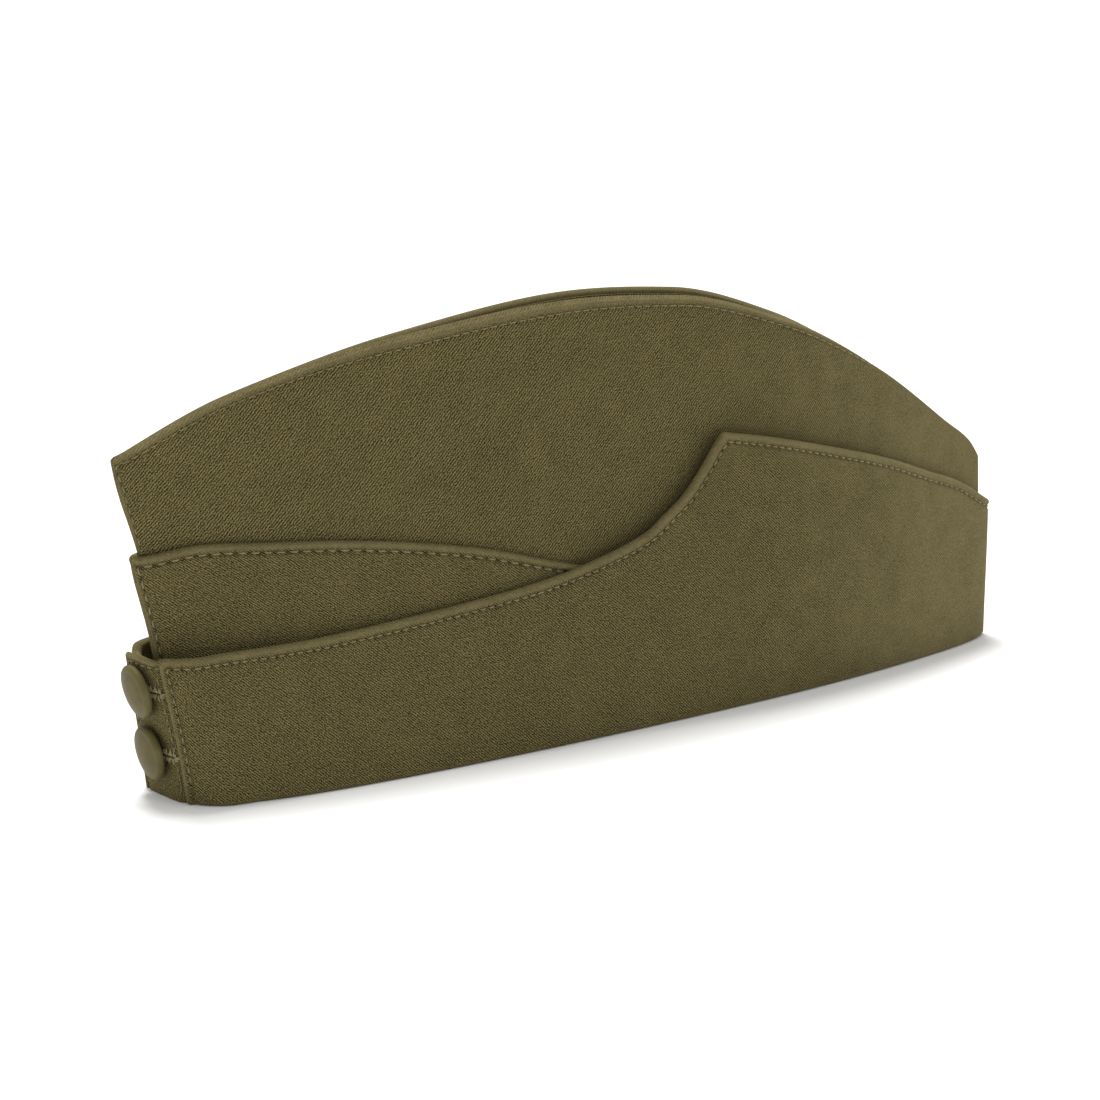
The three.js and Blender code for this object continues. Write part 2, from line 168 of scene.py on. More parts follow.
@dataclass(frozen=True)
class CapForm:
    """The shape that every layer follows, with the cap's driving sizes in millimetres."""

    crown_length: float = 267.4
    crown_width: float = 40.0
    crown_height: float = 114.1
    ridge_width: float = 16.0
    ridge_skew: float = 3.5
    skew_start: float = 0.6
    pinch: float = 0.3
    front_overhang: float = 18.4
    front_straight: float = 0.62
    nose_foot: float = 0.23
    nose_ridge: float = 0.42
    nose_crease: float = 0.14
    tail_foot: float = 0.5
    tail_ridge: float = 0.34
    curtain_fill: float = 0.04
    curtain_fill_share: float = 0.35
    crown_cloth: float = 2.0
    flap_cloth: float = 1.6
    curtain_cloth: float = 2.0
    tab_cloth: float = 1.4
    gusset_cloth: float = 1.2
    gusset_depth: float = 18.0
    gusset_drop: float = 1.6
    gusset_sink: float = 5.0
    ply_gap: float = 0.4
    seam_gap: float = 0.3
    drawn_gap: float = 0.02
    flap_height: float = 64.0
    curtain_front: float = 38.0
    curtain_peak: float = 75.0
    curtain_rear: float = 40.3
    side_ease: float = 0.4
    front_foot_ease: float = 0.1
    front_top_ease: float = 1.3
    rear_foot_ease: float = 0.05
    rear_top_ease: float = 0.5
    ease_share: float = 0.45
    left_seam: float = 0.093
    underlap: float = 0.075
    tab_end: float = 0.17
    tab_free: float = 0.085
    joggle: float = 0.04
    tab_drop: float = 0.8
    front_power: float = 2.6
    rear_power: float = 2.0
    tape_out: float = 3.0
    tape_height: float = 25.0
    bulge_spread: float = 11.0
    bulge_reach: float = 14.0
    swell_height: float = 0.32
    swell_fades: tuple[float, float, float] = (0.12, 0.08, 14.0)
    swell_side: float = 1.7
    swell_waves: tuple[tuple[float, ...], ...] = (
        (0.5, 19.0, 31.0, 1.0, 0.0), (0.35, 11.0, -23.0, 2.0, 0.0), (0.3, 37.0, 14.0, 0.0, 1.0))
    crown_line: ShareCurve = ShareCurve((
        (0, 0.7725), (0.12, 0.872), (0.3, 0.957), (0.5, 1), (0.62, 0.979), (0.74, 0.89), (0.86, 0.73),
        (0.95, 0.573), (0.985, 0.512), (1, 0.466)))
    ridge_line: ShareCurve = ShareCurve((
        (0, 0.42), (0.06, 0.4), (0.15, 0.38), (0.36, 0.69), (0.5, 0.85), (0.62, 0.86), (0.76, 0.97), (0.9, 0.7),
        (1, 0.44)))
    flap_line: ShareCurve = ShareCurve((
        (0, 0.978), (0.05, 1), (0.12, 0.976), (0.2, 0.941), (0.32, 0.851), (0.43, 0.715), (0.5, 0.635),
        (0.58, 0.4), (0.66, 0.12)))
    curtain_rise: ShareCurve = ShareCurve((
        (0, 0), (0.12, 0.003), (0.2, 0.03), (0.31, 0.096), (0.39, 0.16), (0.45, 0.243), (0.51, 0.364),
        (0.54, 0.485), (0.565, 0.604), (0.59, 0.775), (0.61, 0.928), (0.622, 1)))
    curtain_fall: ShareCurve = ShareCurve((
        (0.622, 1), (0.67, 0.922), (0.76, 0.737), (0.84, 0.549), (0.9, 0.373), (0.95, 0.227), (1, 0)))

    @property
    def foot_top(self) -> float:
        """Top of the curtain's turned-in lip."""
        return self.curtain_cloth

    @property
    def crown_foot(self) -> float:
        """Height at which the crown and the flap stand on the lip."""
        return self.foot_top + self.ply_gap

    @property
    def shift(self) -> float:
        """Distance from the crown's front foot to the frame's origin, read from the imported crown."""
        return self.crown_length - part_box("crown_left")[1][0] / MM

    def along_at(self, turn: Array) -> Array:
        """Share of the crown's length at a place round the loop: t^a / (t^a + (1 - t)^b)."""
        front = turn ** self.front_power
        return front / (front + (1.0 - turn) ** self.rear_power)

    def ridge_height(self, along: Array) -> Array:
        """Height of the ridge at each share of the crown's length."""
        return self.crown_height * self.crown_line(along)

    def flap_top(self, along: Array) -> Array:
        """Height of the front flap's edge."""
        return self.flap_height * self.flap_line(along)

    def curtain_top(self, along: Array) -> Array:
        """Height of the curtain's edge, rising to the peak and falling to the rear.

        Args:
            along: Shares of the crown's length.

        Returns:
            The edge's height at each of them.
        """
        peak = self.curtain_fall.rows[0][0]
        rise = mix(self.curtain_front, self.curtain_peak, self.curtain_rise(np.minimum(along, peak)))
        fall = mix(self.curtain_rear, self.curtain_peak, self.curtain_fall(np.maximum(along, peak)))
        return np.where(along < peak, rise, fall)

    def crown_front(self, z: Array) -> Array:
        """Front edge of the crown: a straight lean plus a hollow square-law curve."""
        t = z / self.ridge_height(np.zeros(1))[0]
        return -self.front_overhang * (self.front_straight * t + (1.0 - self.front_straight) * t * t)

    def half_plan(self, turn: Array, depth: Array, z: Array, curtain: bool) -> tuple[Array, Array]:
        """Half plan at one height: width times (s / w)^p * ((1 - s) / (1 - w))^q, widest at w = p / (p + q).

        Args:
            turn: Place round the loop, 0 at the front and 1 at the rear.
            depth: How far the plan is drawn in.
            z: Height.
            curtain: Whether the rounder nose of the curtain is used.

        Returns:
            Distance from the front foot, and half width.
        """
        along = self.along_at(turn)
        rise = z / self.ridge_height(along)
        middle = 4.0 * rise * (1.0 - rise)
        crease = mix(self.nose_foot, self.nose_ridge, smooth(rise)) + self.nose_crease * middle
        tail = mix(self.tail_foot, self.tail_ridge, smooth(rise))
        fill = (self.nose_crease + self.curtain_fill) * middle * (1.0 - smooth(along / self.curtain_fill_share))
        widest = crease / (crease + tail)
        power = crease - fill if curtain else crease
        fullness = (along / widest) ** power * ((1.0 - along) / (1.0 - widest)) ** tail
        x = mix(self.crown_front(z) + depth, self.crown_length - depth, along)
        width = mix(self.crown_width, self.ridge_width * self.ridge_line(along), rise)
        left = width / 2.0 * fullness - depth
        drawn = 0.5 * (left + np.sqrt(left * left + self.pinch ** 2))
        return x, np.where(depth > 0.0, drawn, left)

    def skew(self, turn: Array, side: Array, z: Array) -> Array:
        """How far the upper crown is drawn to the rear on the right and to the front on the left.

        The shift is side * skew * 4 * s * (1 - s), faded in by a smooth step over the upper part of the height.

        Args:
            turn: Place round the loop, 0 at the front and 1 at the rear.
            side: Sign of y on the side in question.
            z: Height.

        Returns:
            Distance to the rear.
        """
        along = self.along_at(turn)
        rise = z / self.ridge_height(along)
        fade = smooth((rise - self.skew_start) / (1.0 - self.skew_start))
        return side * self.ridge_skew * fade * 4.0 * along * (1.0 - along)

    def undulation(self, loop: Array, z: Array) -> Array:
        """Slow swells of the cloth: waves a * cos(x / b + z / c + d * side + e), faded at both ends and the foot.

        Args:
            loop: Place round the loop, negative on the left side.
            z: Height.

        Returns:
            Millimetres outward.
        """
        along = self.along_at(np.abs(loop))
        x = along * self.crown_length
        side = np.where(loop < 0.0, 0.0, self.swell_side)
        swell = sum(share * np.cos(x / run + z / climb + sided * side + phase)
                    for share, run, climb, sided, phase in self.swell_waves)
        front, rear, foot = self.swell_fades
        fade = smooth(along / front) * smooth((1.0 - along) / rear) * smooth(z / foot)
        return self.swell_height * swell * fade

    def place(self, loop: Array, out: Array, z: Array, seam: Array, curtain: bool) -> Array:
        """Points on a layer: the half plan moved outward along its normal, or drawn in where out is negative.

        Args:
            loop: Place round the loop, negative on the left side.
            out: Distance outside the plan.
            z: Height.
            seam: Half of the gap that is kept at the middle plane.
            curtain: Whether the curtain's rounder nose is used.

        Returns:
            Points in metres, in the frame, in an array with a last axis of 3.
        """
        loop, out, z, seam = np.broadcast_arrays(loop, out, z, seam)
        turn = np.abs(loop)
        side = np.where(loop < 0.0, -1.0, 1.0)
        step = 1e-3
        x, half = self.half_plan(turn, np.maximum(-out, 0.0), z, curtain)
        x0, half0 = self.half_plan(np.maximum(turn - step, 0.0), 0.0, z, curtain)
        x1, half1 = self.half_plan(np.minimum(turn + step, 1.0), 0.0, z, curtain)
        length = np.hypot(x1 - x0, half1 - half0)
        outward = np.maximum(out, 0.0) + self.undulation(loop, z)
        x = x - outward * (half1 - half0) / length + self.skew(turn, side, z)
        y = half + outward * (x1 - x0) / length
        return np.stack([x - self.shift, side * (y + seam), z], axis=-1) * MM

    def under_curtain(self, loop: Array, z: Array) -> Array:
        """Stand-off of the curtain's inner face: the plies under it plus its ease at the front and the rear.

        Args:
            loop: Place round the loop, negative on the left side.
            z: Height.

        Returns:
            Distance outside the crown.
        """
        turn = np.abs(loop)
        along = self.along_at(turn)
        flap_end = self.flap_line.rows[-1][0]
        peak = self.curtain_fall.rows[0][0]
        cover = 1.0 - smooth((along - flap_end) / (1.0 - flap_end))
        height = z / self.curtain_top(along)
        front = 1.0 - smooth(turn / self.ease_share)
        rear = smooth((along - peak) / (1.0 - peak))
        return (self.ply_gap + (self.flap_cloth + self.ply_gap) * cover + self.side_ease * (1.0 - rear)
                + front * mix(self.front_foot_ease, self.front_top_ease, height * height)
                + rear * mix(self.rear_foot_ease, self.rear_top_ease, height))

    def tab_inner(self, loop: Array, z: Array) -> Array:
        """Inner face of the tab: over the right end of the curtain, then stepping in beside it."""
        lap = 1.0 - smooth((-loop - self.underlap) / self.joggle)
        return self.under_curtain(loop, z) + (self.curtain_cloth + self.ply_gap) * lap

    def tab_face(self, loop: Array, z: Array) -> Array:
        """Outer face of the tab."""
        return self.tab_inner(loop, z) + self.tab_cloth

    def left_inner(self, loop: Array, z: Array) -> Array:
        """Inner face of the left curtain: over the tab at its front end."""
        lap = 1.0 - smooth((-loop - self.tab_end) / (2.0 * self.joggle))
        return self.tab_inner(loop, z) + (self.tab_cloth + self.ply_gap) * lap

    def butted_seam(self, loop: Array) -> Array:
        """Half gap of two halves that are sewn edge to edge: too narrow to see through."""
        return np.full_like(loop, 0.5 * self.drawn_gap)

    def crossing_seam(self, loop: Array) -> Array:
        """Half of the rear seam's gap, fading to none where a layer crosses the front centre."""
        return 0.5 * self.seam_gap * smooth(np.abs(loop) / self.left_seam)

    def arc_table(self) -> Array:
        """Cloth length from the front centre to each of TURNS, taped round the curtain at one height."""
        out, z = np.full_like(TURNS, self.tape_out), np.full_like(TURNS, self.tape_height)
        return running_length(self.place(TURNS, out, z, 0.0, True) / MM)

    def arc_of(self, loop: Array) -> Array:
        """Signed cloth length from the front centre."""
        return np.sign(loop) * np.interp(np.abs(loop), TURNS, self.arc_table())

    def loop_of(self, arc: Array) -> Array:
        """Place round the loop at a signed cloth length."""
        return np.sign(arc) * np.interp(np.abs(arc), self.arc_table(), TURNS)

    def front_bulge(self, loop: Array, z: Array, depth: float, height: float) -> Array:
        """Swell beside the front crease: a Gaussian in height, faded out by a smooth step along the cloth."""
        fade = 1.0 - smooth(self.arc_of(np.abs(loop)) / self.bulge_reach)
        return depth * bell(z - height, self.bulge_spread) * fade

    def corner_drop(self, loop: Array, radius: float) -> Array:
        """How far an edge is rounded down beside the front crease."""
        return corner_fall(self.arc_of(np.abs(loop)), radius)

    def turn_at(self, along: Array) -> Array:
        """Place round the loop that holds a share of the crown's length."""
        return np.interp(along, self.along_at(TURNS), TURNS)


def spaced(start: float, end: float, step: float, fine: float, margin: float = 6.0) -> Array:
    """Places from start to end, set close together within a margin of both ends.

    Args:
        start: First place, in millimetres of cloth.
        end: Last place.
        step: Spacing away from the ends.
        fine: Spacing near the ends.
        margin: Length of each fine stretch.

    Returns:
        The places in order.
    """
    sign = 1.0 if end > start else -1.0
    length = abs(end - start)
    near = np.arange(0.0, margin, fine)
    middle = np.linspace(margin, length - margin, max(int((length - 2 * margin) / step), 2))
    return start + sign * np.concatenate([near, middle, length - near[::-1]])


def eroded(edge: Array, arc: Array, distance: float) -> Array:
    """Height of the line that runs a distance inside an edge: the lowest of edge - sqrt(d^2 - x^2) within d.

    Args:
        edge: Height of the edge at each station.
        arc: Cloth length at each station, rising.
        distance: How far inside the edge the line runs.

    Returns:
        The line's height at each station.
    """
    if distance <= 0.0:
        return edge
    reach = distance * np.sin(np.linspace(-0.5 * np.pi, 0.5 * np.pi, EDGE_SAMPLES))
    near = np.interp(arc[:, None] + reach[None, :], arc, edge)
    return np.min(near - np.sqrt(np.clip(distance ** 2 - reach ** 2, 0.0, None))[None, :], axis=1)


def make_mesh(name: str, points: Array, faces: list[list[int]], weave: Array | None = None,
              rub_and_painted_light: Array | None = None, sharp: float = 55.0) -> bpy.types.Object:
    """Mesh object at the origin, smooth shaded, its faces turned outward.

    Args:
        name: Object's name.
        points: Corners in metres.
        faces: Corner numbers of each face.
        weave: Place of each corner on the cloth, in metres.
        rub_and_painted_light: Rubbing and painted light of each corner: above nothing on the rolls, lightened by
            rubbing and a painted highlight, and on the inner face under the edge, painted lighter against its
            shade; below nothing along the stitch lines, as painted shade.
        sharp: Angle in degrees past which an edge stays sharp.

    Returns:
        The new object.
    """
    corners = points.reshape(-1, 3)
    mesh = bpy.data.meshes.new(name)
    mesh.from_pydata(corners.tolist(), [], faces)
    mesh.update()
    if signed_volume(mesh) < 0.0:
        mesh.flip_normals()
    if weave is not None:
        layer = mesh.uv_layers.new(name=WEAVE_MAP)
        vertex = np.empty(len(mesh.loops), dtype=np.int32)
        mesh.loops.foreach_get("vertex_index", vertex)
        layer.data.foreach_set("uv", weave.reshape(-1, 2)[vertex].astype(np.float32).ravel())
    if rub_and_painted_light is not None:
        rubbing_and_painted_light = mesh.attributes.new(RUB_AND_PAINTED_LIGHT, "FLOAT", "POINT")
        rubbing_and_painted_light.data.foreach_set("value", rub_and_painted_light.astype(np.float32).ravel())
    mesh.polygons.foreach_set("use_smooth", np.ones(len(mesh.polygons), dtype=bool))
    mesh.set_sharp_from_angle(angle=math.radians(sharp))
    piece = bpy.data.objects.new(name, mesh)
    bpy.context.scene.collection.objects.link(piece)
    return piece


def signed_volume(mesh: bpy.types.Mesh) -> float:
    """Volume by the divergence theorem: the sum of a . (b x c) / 6 over the triangles.

    Args:
        mesh: A closed mesh.

    Returns:
        Its volume, negative where the faces point inward.
    """
    mesh.calc_loop_triangles()
    triangles = np.empty(len(mesh.loop_triangles) * 3, dtype=np.int32)
    mesh.loop_triangles.foreach_get("vertices", triangles)
    corners = np.empty(len(mesh.vertices) * 3)
    mesh.vertices.foreach_get("co", corners)
    a, b, c = np.moveaxis(corners.reshape(-1, 3)[triangles.reshape(-1, 3)], 1, 0)
    return float(np.einsum("ij,ij->i", a, np.cross(b, c)).sum() / 6.0)


def ring_faces(rows: int, count: int) -> Array:
    """Four-sided faces between successive closed rings: corners i and i + 1 of a ring, and the same of the next.

    Args:
        rows: Number of rings.
        count: Corners in each ring.

    Returns:
        Corner numbers of each face.
    """
    s, i = np.meshgrid(np.arange(rows - 1), np.arange(count), indexing="ij")
    a = s * count + i
    b = s * count + (i + 1) % count
    return np.stack([a, b, b + count, a + count], axis=-1).reshape(-1, 4)


def tube_faces(rows: int, count: int) -> list[list[int]]:
    """Faces of a tube of closed rings with one flat polygon over each end.

    Args:
        rows: Number of rings.
        count: Corners in each ring.

    Returns:
        Corner numbers of each face.
    """
    last = (rows - 1) * count
    return ring_faces(rows, count).tolist() + [list(range(count))[::-1], list(range(last, last + count))]


def swept_faces(sections: Array) -> list[list[int]]:
    """Faces of a solid that is swept through sections: four-sided ones between them, and triangles over both ends.

    Args:
        sections: Corners of every section in its own plane, shaped (stations, corners, 2).

    Returns:
        Corner numbers of each face.
    """
    stations, count = sections.shape[:2]
    return (ring_faces(stations, count).tolist() + cap_faces(sections[0], 0, True)
            + cap_faces(sections[-1], (stations - 1) * count, False))


def cap_faces(section: Array, offset: int, flip: bool) -> list[list[int]]:
    """Triangles that close one ring, from its flat section.

    Args:
        section: The ring's corners in its own plane.
        offset: Number of the ring's first corner.
        flip: Whether the triangles are turned round.

    Returns:
        Corner numbers of each triangle.
    """
    flat = [Vector((float(a), float(b), 0.0)) for a, b in section]
    x, y = section[:, 0], section[:, 1]
    turns_left = float(np.dot(x, np.roll(y, -1)) - np.dot(y, np.roll(x, -1))) > 0.0
    faces = []
    for a, b, c in tessellate_polygon([flat]):
        cross = (flat[b] - flat[a]).cross(flat[c] - flat[a]).z
        ordered = (a, b, c) if (cross > 0.0) == turns_left else (a, c, b)
        faces.append([offset + k for k in (ordered[::-1] if flip else ordered)])
    return faces


@dataclass(frozen=True)
class Stitching:
    """One line of machine stitches and what it does to the cloth."""

    pitch: float = 2.6
    share: float = 0.72
    radius: float = 0.23
    groove: float = 0.42
    groove_width: float = 0.55
    pucker: float = 0.35
    sink: float = 0.12
    hole_width: float = 0.5
    # Strength of the painted shade at the needle holes
    hole_shade: float = 1.5

    def beat(self, length: Array) -> Array:
        """Cosine along the line that is 1 at each needle hole."""
        return np.cos(2.0 * np.pi * length / self.pitch)

    def relief(self, distance: Array, length: Array) -> Array:
        """Depth of the groove: a Gaussian valley, deeper at each needle hole.

        Args:
            distance: Distance from the stitch line.
            length: Cloth length along the line, for the needle holes.

        Returns:
            Outward movement, negative in the groove.
        """
        return -self.groove * bell(distance, self.groove_width) * (1.0 + self.pucker * self.beat(length))

    def holes(self, distance: Array, length: Array) -> Array:
        """Painted shade along the stitch line, deepest at the needle holes; it darkens the cloth as the attribute
        below nothing does.

        Args:
            distance: Distance from the stitch line.
            length: Cloth length along the line.

        Returns:
            Its strength at each corner.
        """
        return bell(distance, self.hole_width) * self.hole_shade * self.pucker * (1.0 + self.beat(length))

    def threads(self, path: Array, normal: Array) -> tuple[Array, list[list[int]]]:
        """Stitches along a path: capsules whose middle rises over the cloth and whose ends dip into it.

        Args:
            path: Points in metres along the stitch line, on the cloth.
            normal: Outward direction at each point.

        Returns:
            Corners of every stitch, and their faces.
        """
        length = running_length(path)
        count = max(int(length[-1] / (self.pitch * MM)), 1)
        start = (np.arange(count) + 0.5 * (1.0 - self.share)) * self.pitch * MM
        places = start[:, None] + np.linspace(0.0, self.share, THREAD_STEPS)[None, :] * self.pitch * MM
        return thread_solids(sampled(path, length, places), sampled(normal, length, places),
                             self.radius * MM, self.sink * MM)


def thread_solids(centre: Array, normal: Array, radius: float, sink: float) -> tuple[Array, list[list[int]]]:
    """Thin round solids along short paths.

    Along a path t runs from 0 to 1. The circles have a radius of r * (1 - 0.75 * |2t - 1|^4), and their centres
    are lifted by (r + sink) * sin(pi * t)^0.6 - sink.

    Args:
        centre: Points of each path, shaped (threads, points, 3).
        normal: Outward direction at each point.
        radius: Thread's radius in metres.
        sink: How far the ends dip into the cloth.

    Returns:
        Corners of every thread, and their faces.
    """
    steps = centre.shape[1]
    t = np.linspace(0.0, 1.0, steps)
    tangent = np.gradient(centre, axis=1)
    tangent /= np.linalg.norm(tangent, axis=-1, keepdims=True)
    normal = normal - tangent * np.sum(normal * tangent, axis=-1, keepdims=True)
    normal /= np.linalg.norm(normal, axis=-1, keepdims=True)
    across = np.cross(tangent, normal)
    lift = (radius + sink) * np.sin(np.pi * t) ** 0.6 - sink
    width = radius * (1.0 - 0.75 * np.abs(2.0 * t - 1.0) ** 4)
    angle = 2.0 * np.pi * np.arange(THREAD_SIDES) / THREAD_SIDES
    spoke = (np.cos(angle)[None, None, :, None] * across[:, :, None, :]
             + np.sin(angle)[None, None, :, None] * normal[:, :, None, :])
    points = (centre + lift[None, :, None] * normal)[:, :, None, :] + width[None, :, None, None] * spoke
    faces = tube_faces(steps, THREAD_SIDES)
    return joined([(corners.reshape(-1, 3), faces) for corners in points])


def sampled(values: Array, length: Array, places: Array) -> Array:
    """Three-part values along a path, read off at given lengths."""
    return np.stack([np.interp(places, length, values[:, k]) for k in range(3)], axis=-1)


def joined(solids: Sequence[tuple[Array, list[list[int]]]]) -> tuple[Array, list[list[int]]]:
    """Several solids as one, with their faces renumbered.

    Args:
        solids: Corners and faces of each.

    Returns:
        Corners and faces of all of them.
    """
    starts = np.cumsum([0] + [len(corners) for corners, _ in solids]).tolist()
    faces = [[start + k for k in face] for start, (_, own) in zip(starts, solids) for face in own]
    return np.concatenate([corners for corners, _ in solids]), faces


@dataclass
class ClothLayer:
    """One layer of cloth with a rolled upper edge, sewn down along it and beside its stitched ends.

    The section is a middle line with half the cloth's thickness on each side of it. The half thickness falls
    to nothing in a quarter circle at the upper edge and at a folded end.
    """

    name: str
    form: CapForm
    arcs: Array
    inner: Callable[[Array, Array], Array]
    edge: Callable[[Array, Array], Array]
    cloth: float
    curtain: bool
    seam: Callable[[Array], Array]
    foot: Callable[[Array], Array] = np.zeros_like
    lip: bool = False
    foot_radius: float = 1.5
    inset: float = 2.3
    roll: float = 0.25
    corner: float = 5.0
    ends: tuple[End, End] = (End.BUTTED, End.BUTTED)
    end_insets: tuple[float, float] = (0.0, 0.0)
    lines: tuple[float, ...] = ()
    seam_valley: float = 0.45
    seam_width: float = 0.8
    inset_share: ShareCurve | None = None
    stitching: Stitching = field(default_factory=Stitching)
    fine_reach: float = 6.4
    fine_row: float = 0.3
    inner_insets: tuple[float, ...] = (4.0, 2.6, 1.6)
    plain_rows: tuple[int, int] = (30, 8)
    roll_fade: tuple[float, float] = (0.12, 0.3)
    # Crest and spread of the rubbing and painted highlight on the roll, and spread of the painted light on the
    # inner face, as shares of the line's inset
    rub_and_light_shape: tuple[float, float, float] = (0.35, 0.45, 1.2)
    foot_wear: float = 0.6
    lip_length: float = 3.0
    fold_left: float = 0.05
    least_share: float = 0.2
    end_clear: float = 1.2
    side_foot: float = 2.6
    corner_steps: int = 9
    line_foot: float = 2.5
    line_step: float = 0.5
    line_clear: float = 1.5
    thread_depth: float = 0.8

    def __post_init__(self) -> None:
        """Works out the stations that every method shares."""
        self.loops = self.form.loop_of(self.arcs)
        along = self.form.along_at(np.abs(self.loops))
        self.top = self.edge(self.loops, along)
        self.share = self.inset_share(along) if self.inset_share else np.ones_like(along)
        self.low = self.foot(self.loops)
        self.sign = np.sign(self.arcs[-1] - self.arcs[0])
        self.rising = self.sign * self.arcs
        self.sewn_ends = [which for which in (0, 1) if self.end_insets[which] > 0.0]

    def line(self, inset: float) -> Array:
        """Height of the line a distance inside the upper edge, at each station."""
        return eroded(self.top, self.rising, inset)

    def away(self, points: Array, which: int) -> Array:
        """Cloth length from one end at each corner, summed along each row in millimetres."""
        steps = from_end(np.linalg.norm(np.diff(points, axis=0), axis=-1) / MM, which)
        return from_end(np.concatenate([np.zeros((1, points.shape[1])), np.cumsum(steps, axis=0)]), which)

    def face_rows(self, insets: Sequence[float], rows: int) -> tuple[Array, Array]:
        """Heights and insets of the rows of one face, foot first.

        Args:
            insets: Distances inside the upper edge of the rows near it, deepest first.
            rows: Number of rows from the foot to the deepest of those.

        Returns:
            Heights and insets, shaped (stations, rows).
        """
        insets = np.array(insets)
        upper = np.stack([self.line(inset) for inset in insets], axis=1)
        base = (self.low + (self.foot_radius if self.lip else 0.0))[:, None]
        lower = mix(base, upper[:, :1], np.linspace(0.0, 1.0, rows + 1)[None, :-1])
        z = np.concatenate([lower, upper], axis=1)
        return z, np.concatenate([insets[0] + upper[:, :1] - lower, insets + 0.0 * upper], axis=1)

    def rounded(self) -> Array:
        """Inset of each corner from the nearest sewn edge, with round corners where two sewn edges meet."""
        depth, radius = self.depth, self.corner
        for which in self.sewn_ends:
            beside = self.beside[which] * self.inset / self.end_insets[which]
            both = (depth < radius) & (beside < radius)
            round_corner = radius - np.hypot(radius - depth, radius - beside)
            depth = np.where(both, round_corner, np.minimum(depth, beside))
        return depth

    def rings(self) -> tuple[Array, Array, Array]:
        """Section of the cloth at every station: stand-offs, heights and places, foot to edge to foot."""
        half = self.cloth / 2.0
        roll = list(half * (1.0 - np.sin(np.linspace(0.0, 0.5 * np.pi, FOLD_ROWS)[:-1])))
        fine = list(np.arange(self.fine_reach, half, -self.fine_row))
        outer_z, outer_depth = self.face_rows(fine + roll + [0.0], self.plain_rows[0])
        inner_z, inner_depth = self.face_rows([*self.inner_insets, *roll], self.plain_rows[1])
        z = np.concatenate([outer_z, inner_z[:, ::-1]], axis=1)
        depth = np.concatenate([outer_depth, inner_depth[:, ::-1]], axis=1)
        self.outer_rows = outer_z.shape[1]
        outer = np.arange(z.shape[1])[None, :] < self.outer_rows
        sign = np.where(outer, 1.0, -1.0)
        loop = self.loops[:, None] + 0.0 * z
        middle = self.inner(loop, z) + half
        thick = round_over(depth, half)
        bare = middle + half * sign * thick
        run = np.concatenate([0.0 * z[:, :1], np.cumsum(np.hypot(np.diff(bare), np.diff(z)), axis=1)], axis=1)
        self.cloth_z = self.top[:, None] + run - run[:, self.outer_rows - 1, None]
        flat = self.form.place(loop, bare, z, self.seam(loop), self.curtain)
        self.beside = (self.away(flat, 0), self.away(flat, 1))
        self.depth, self.z = depth, z
        swell, sewn = self.needlework(outer)
        out = middle + sign * (half + swell) * thick + np.where(outer, sewn * thick, 0.0)
        for beside, end in zip(self.beside, self.ends):
            if end is End.FOLDED:
                out = middle + (out - middle) * np.maximum(round_over(beside, half), self.fold_left)
            else:
                out = out - self.seam_valley * half * sign * bell(beside, self.seam_width)
        return out, z, loop

    def needlework(self, outer: Array) -> tuple[Array, Array]:
        """What the sewing does to the cloth; it also notes each corner's rubbing and painted light: rubbing and a
        painted highlight on the roll, painted light on the inner face under the edge, and painted shade along the
        stitch line.

        The roll between an edge and its stitch line swells by roll * sin(pi * inside / line)^2.

        Args:
            outer: Whether each corner is on the outer face.

        Returns:
            Swell of the roll, and relief of the stitch lines, both in millimetres outward.
        """
        cornered = np.zeros(self.z.shape, dtype=bool)
        for which in self.sewn_ends:
            cornered |= self.beside[which] < self.corner
        share = np.where(cornered, 1.0, self.share[:, None])
        start, stretch = self.roll_fade
        fade = smooth((share - start) / stretch)
        inside, line, length = self.rounded(), self.inset * share, self.run_length()
        crest, spread, hidden = self.rub_and_light_shape
        # Rubbing and a painted highlight on the outer roll, painted light on the inner face under the edge against
        # its shade, painted shade in the stitch groove
        self.rub_and_painted_light = np.where(outer, bell(inside - crest * line, spread * line)
                             - fade * self.stitching.holes(inside - line, length), bell(inside, hidden * line))
        swell = self.roll * fade * np.sin(np.pi * np.clip(inside / line, 0.0, 1.0)) ** 2
        sewn = fade * self.stitching.relief(inside - line, length)
        for arc in self.lines:
            clear = smooth((self.depth - self.line_clear) / self.line_clear)
            sewn = sewn + self.stitching.relief(self.arcs[:, None] - arc, self.z) * clear
        return swell, sewn

    def build(self) -> bpy.types.Object:
        """Mesh of the layer: its section at every station, joined into one skin and closed at both ends."""
        out, z, loop = self.rings()
        cloth_z, rub_and_painted_light = self.cloth_z, self.rub_and_painted_light
        if self.lip:
            out, z, cloth_z, rub_and_painted_light = self.with_lip(out, z, cloth_z, rub_and_painted_light)
            loop = loop[:, :1] + 0.0 * z
        points = self.form.place(loop, out, z, self.seam(loop), self.curtain)
        across = self.arcs[0] + self.sign * running_length(points[:, self.outer_rows // 2] / MM)
        weave = np.stack([across[:, None] + 0.0 * z, cloth_z], axis=-1) * MM
        return make_mesh(self.name, points, swept_faces(np.stack([out, z], axis=-1)), weave, rub_and_painted_light)

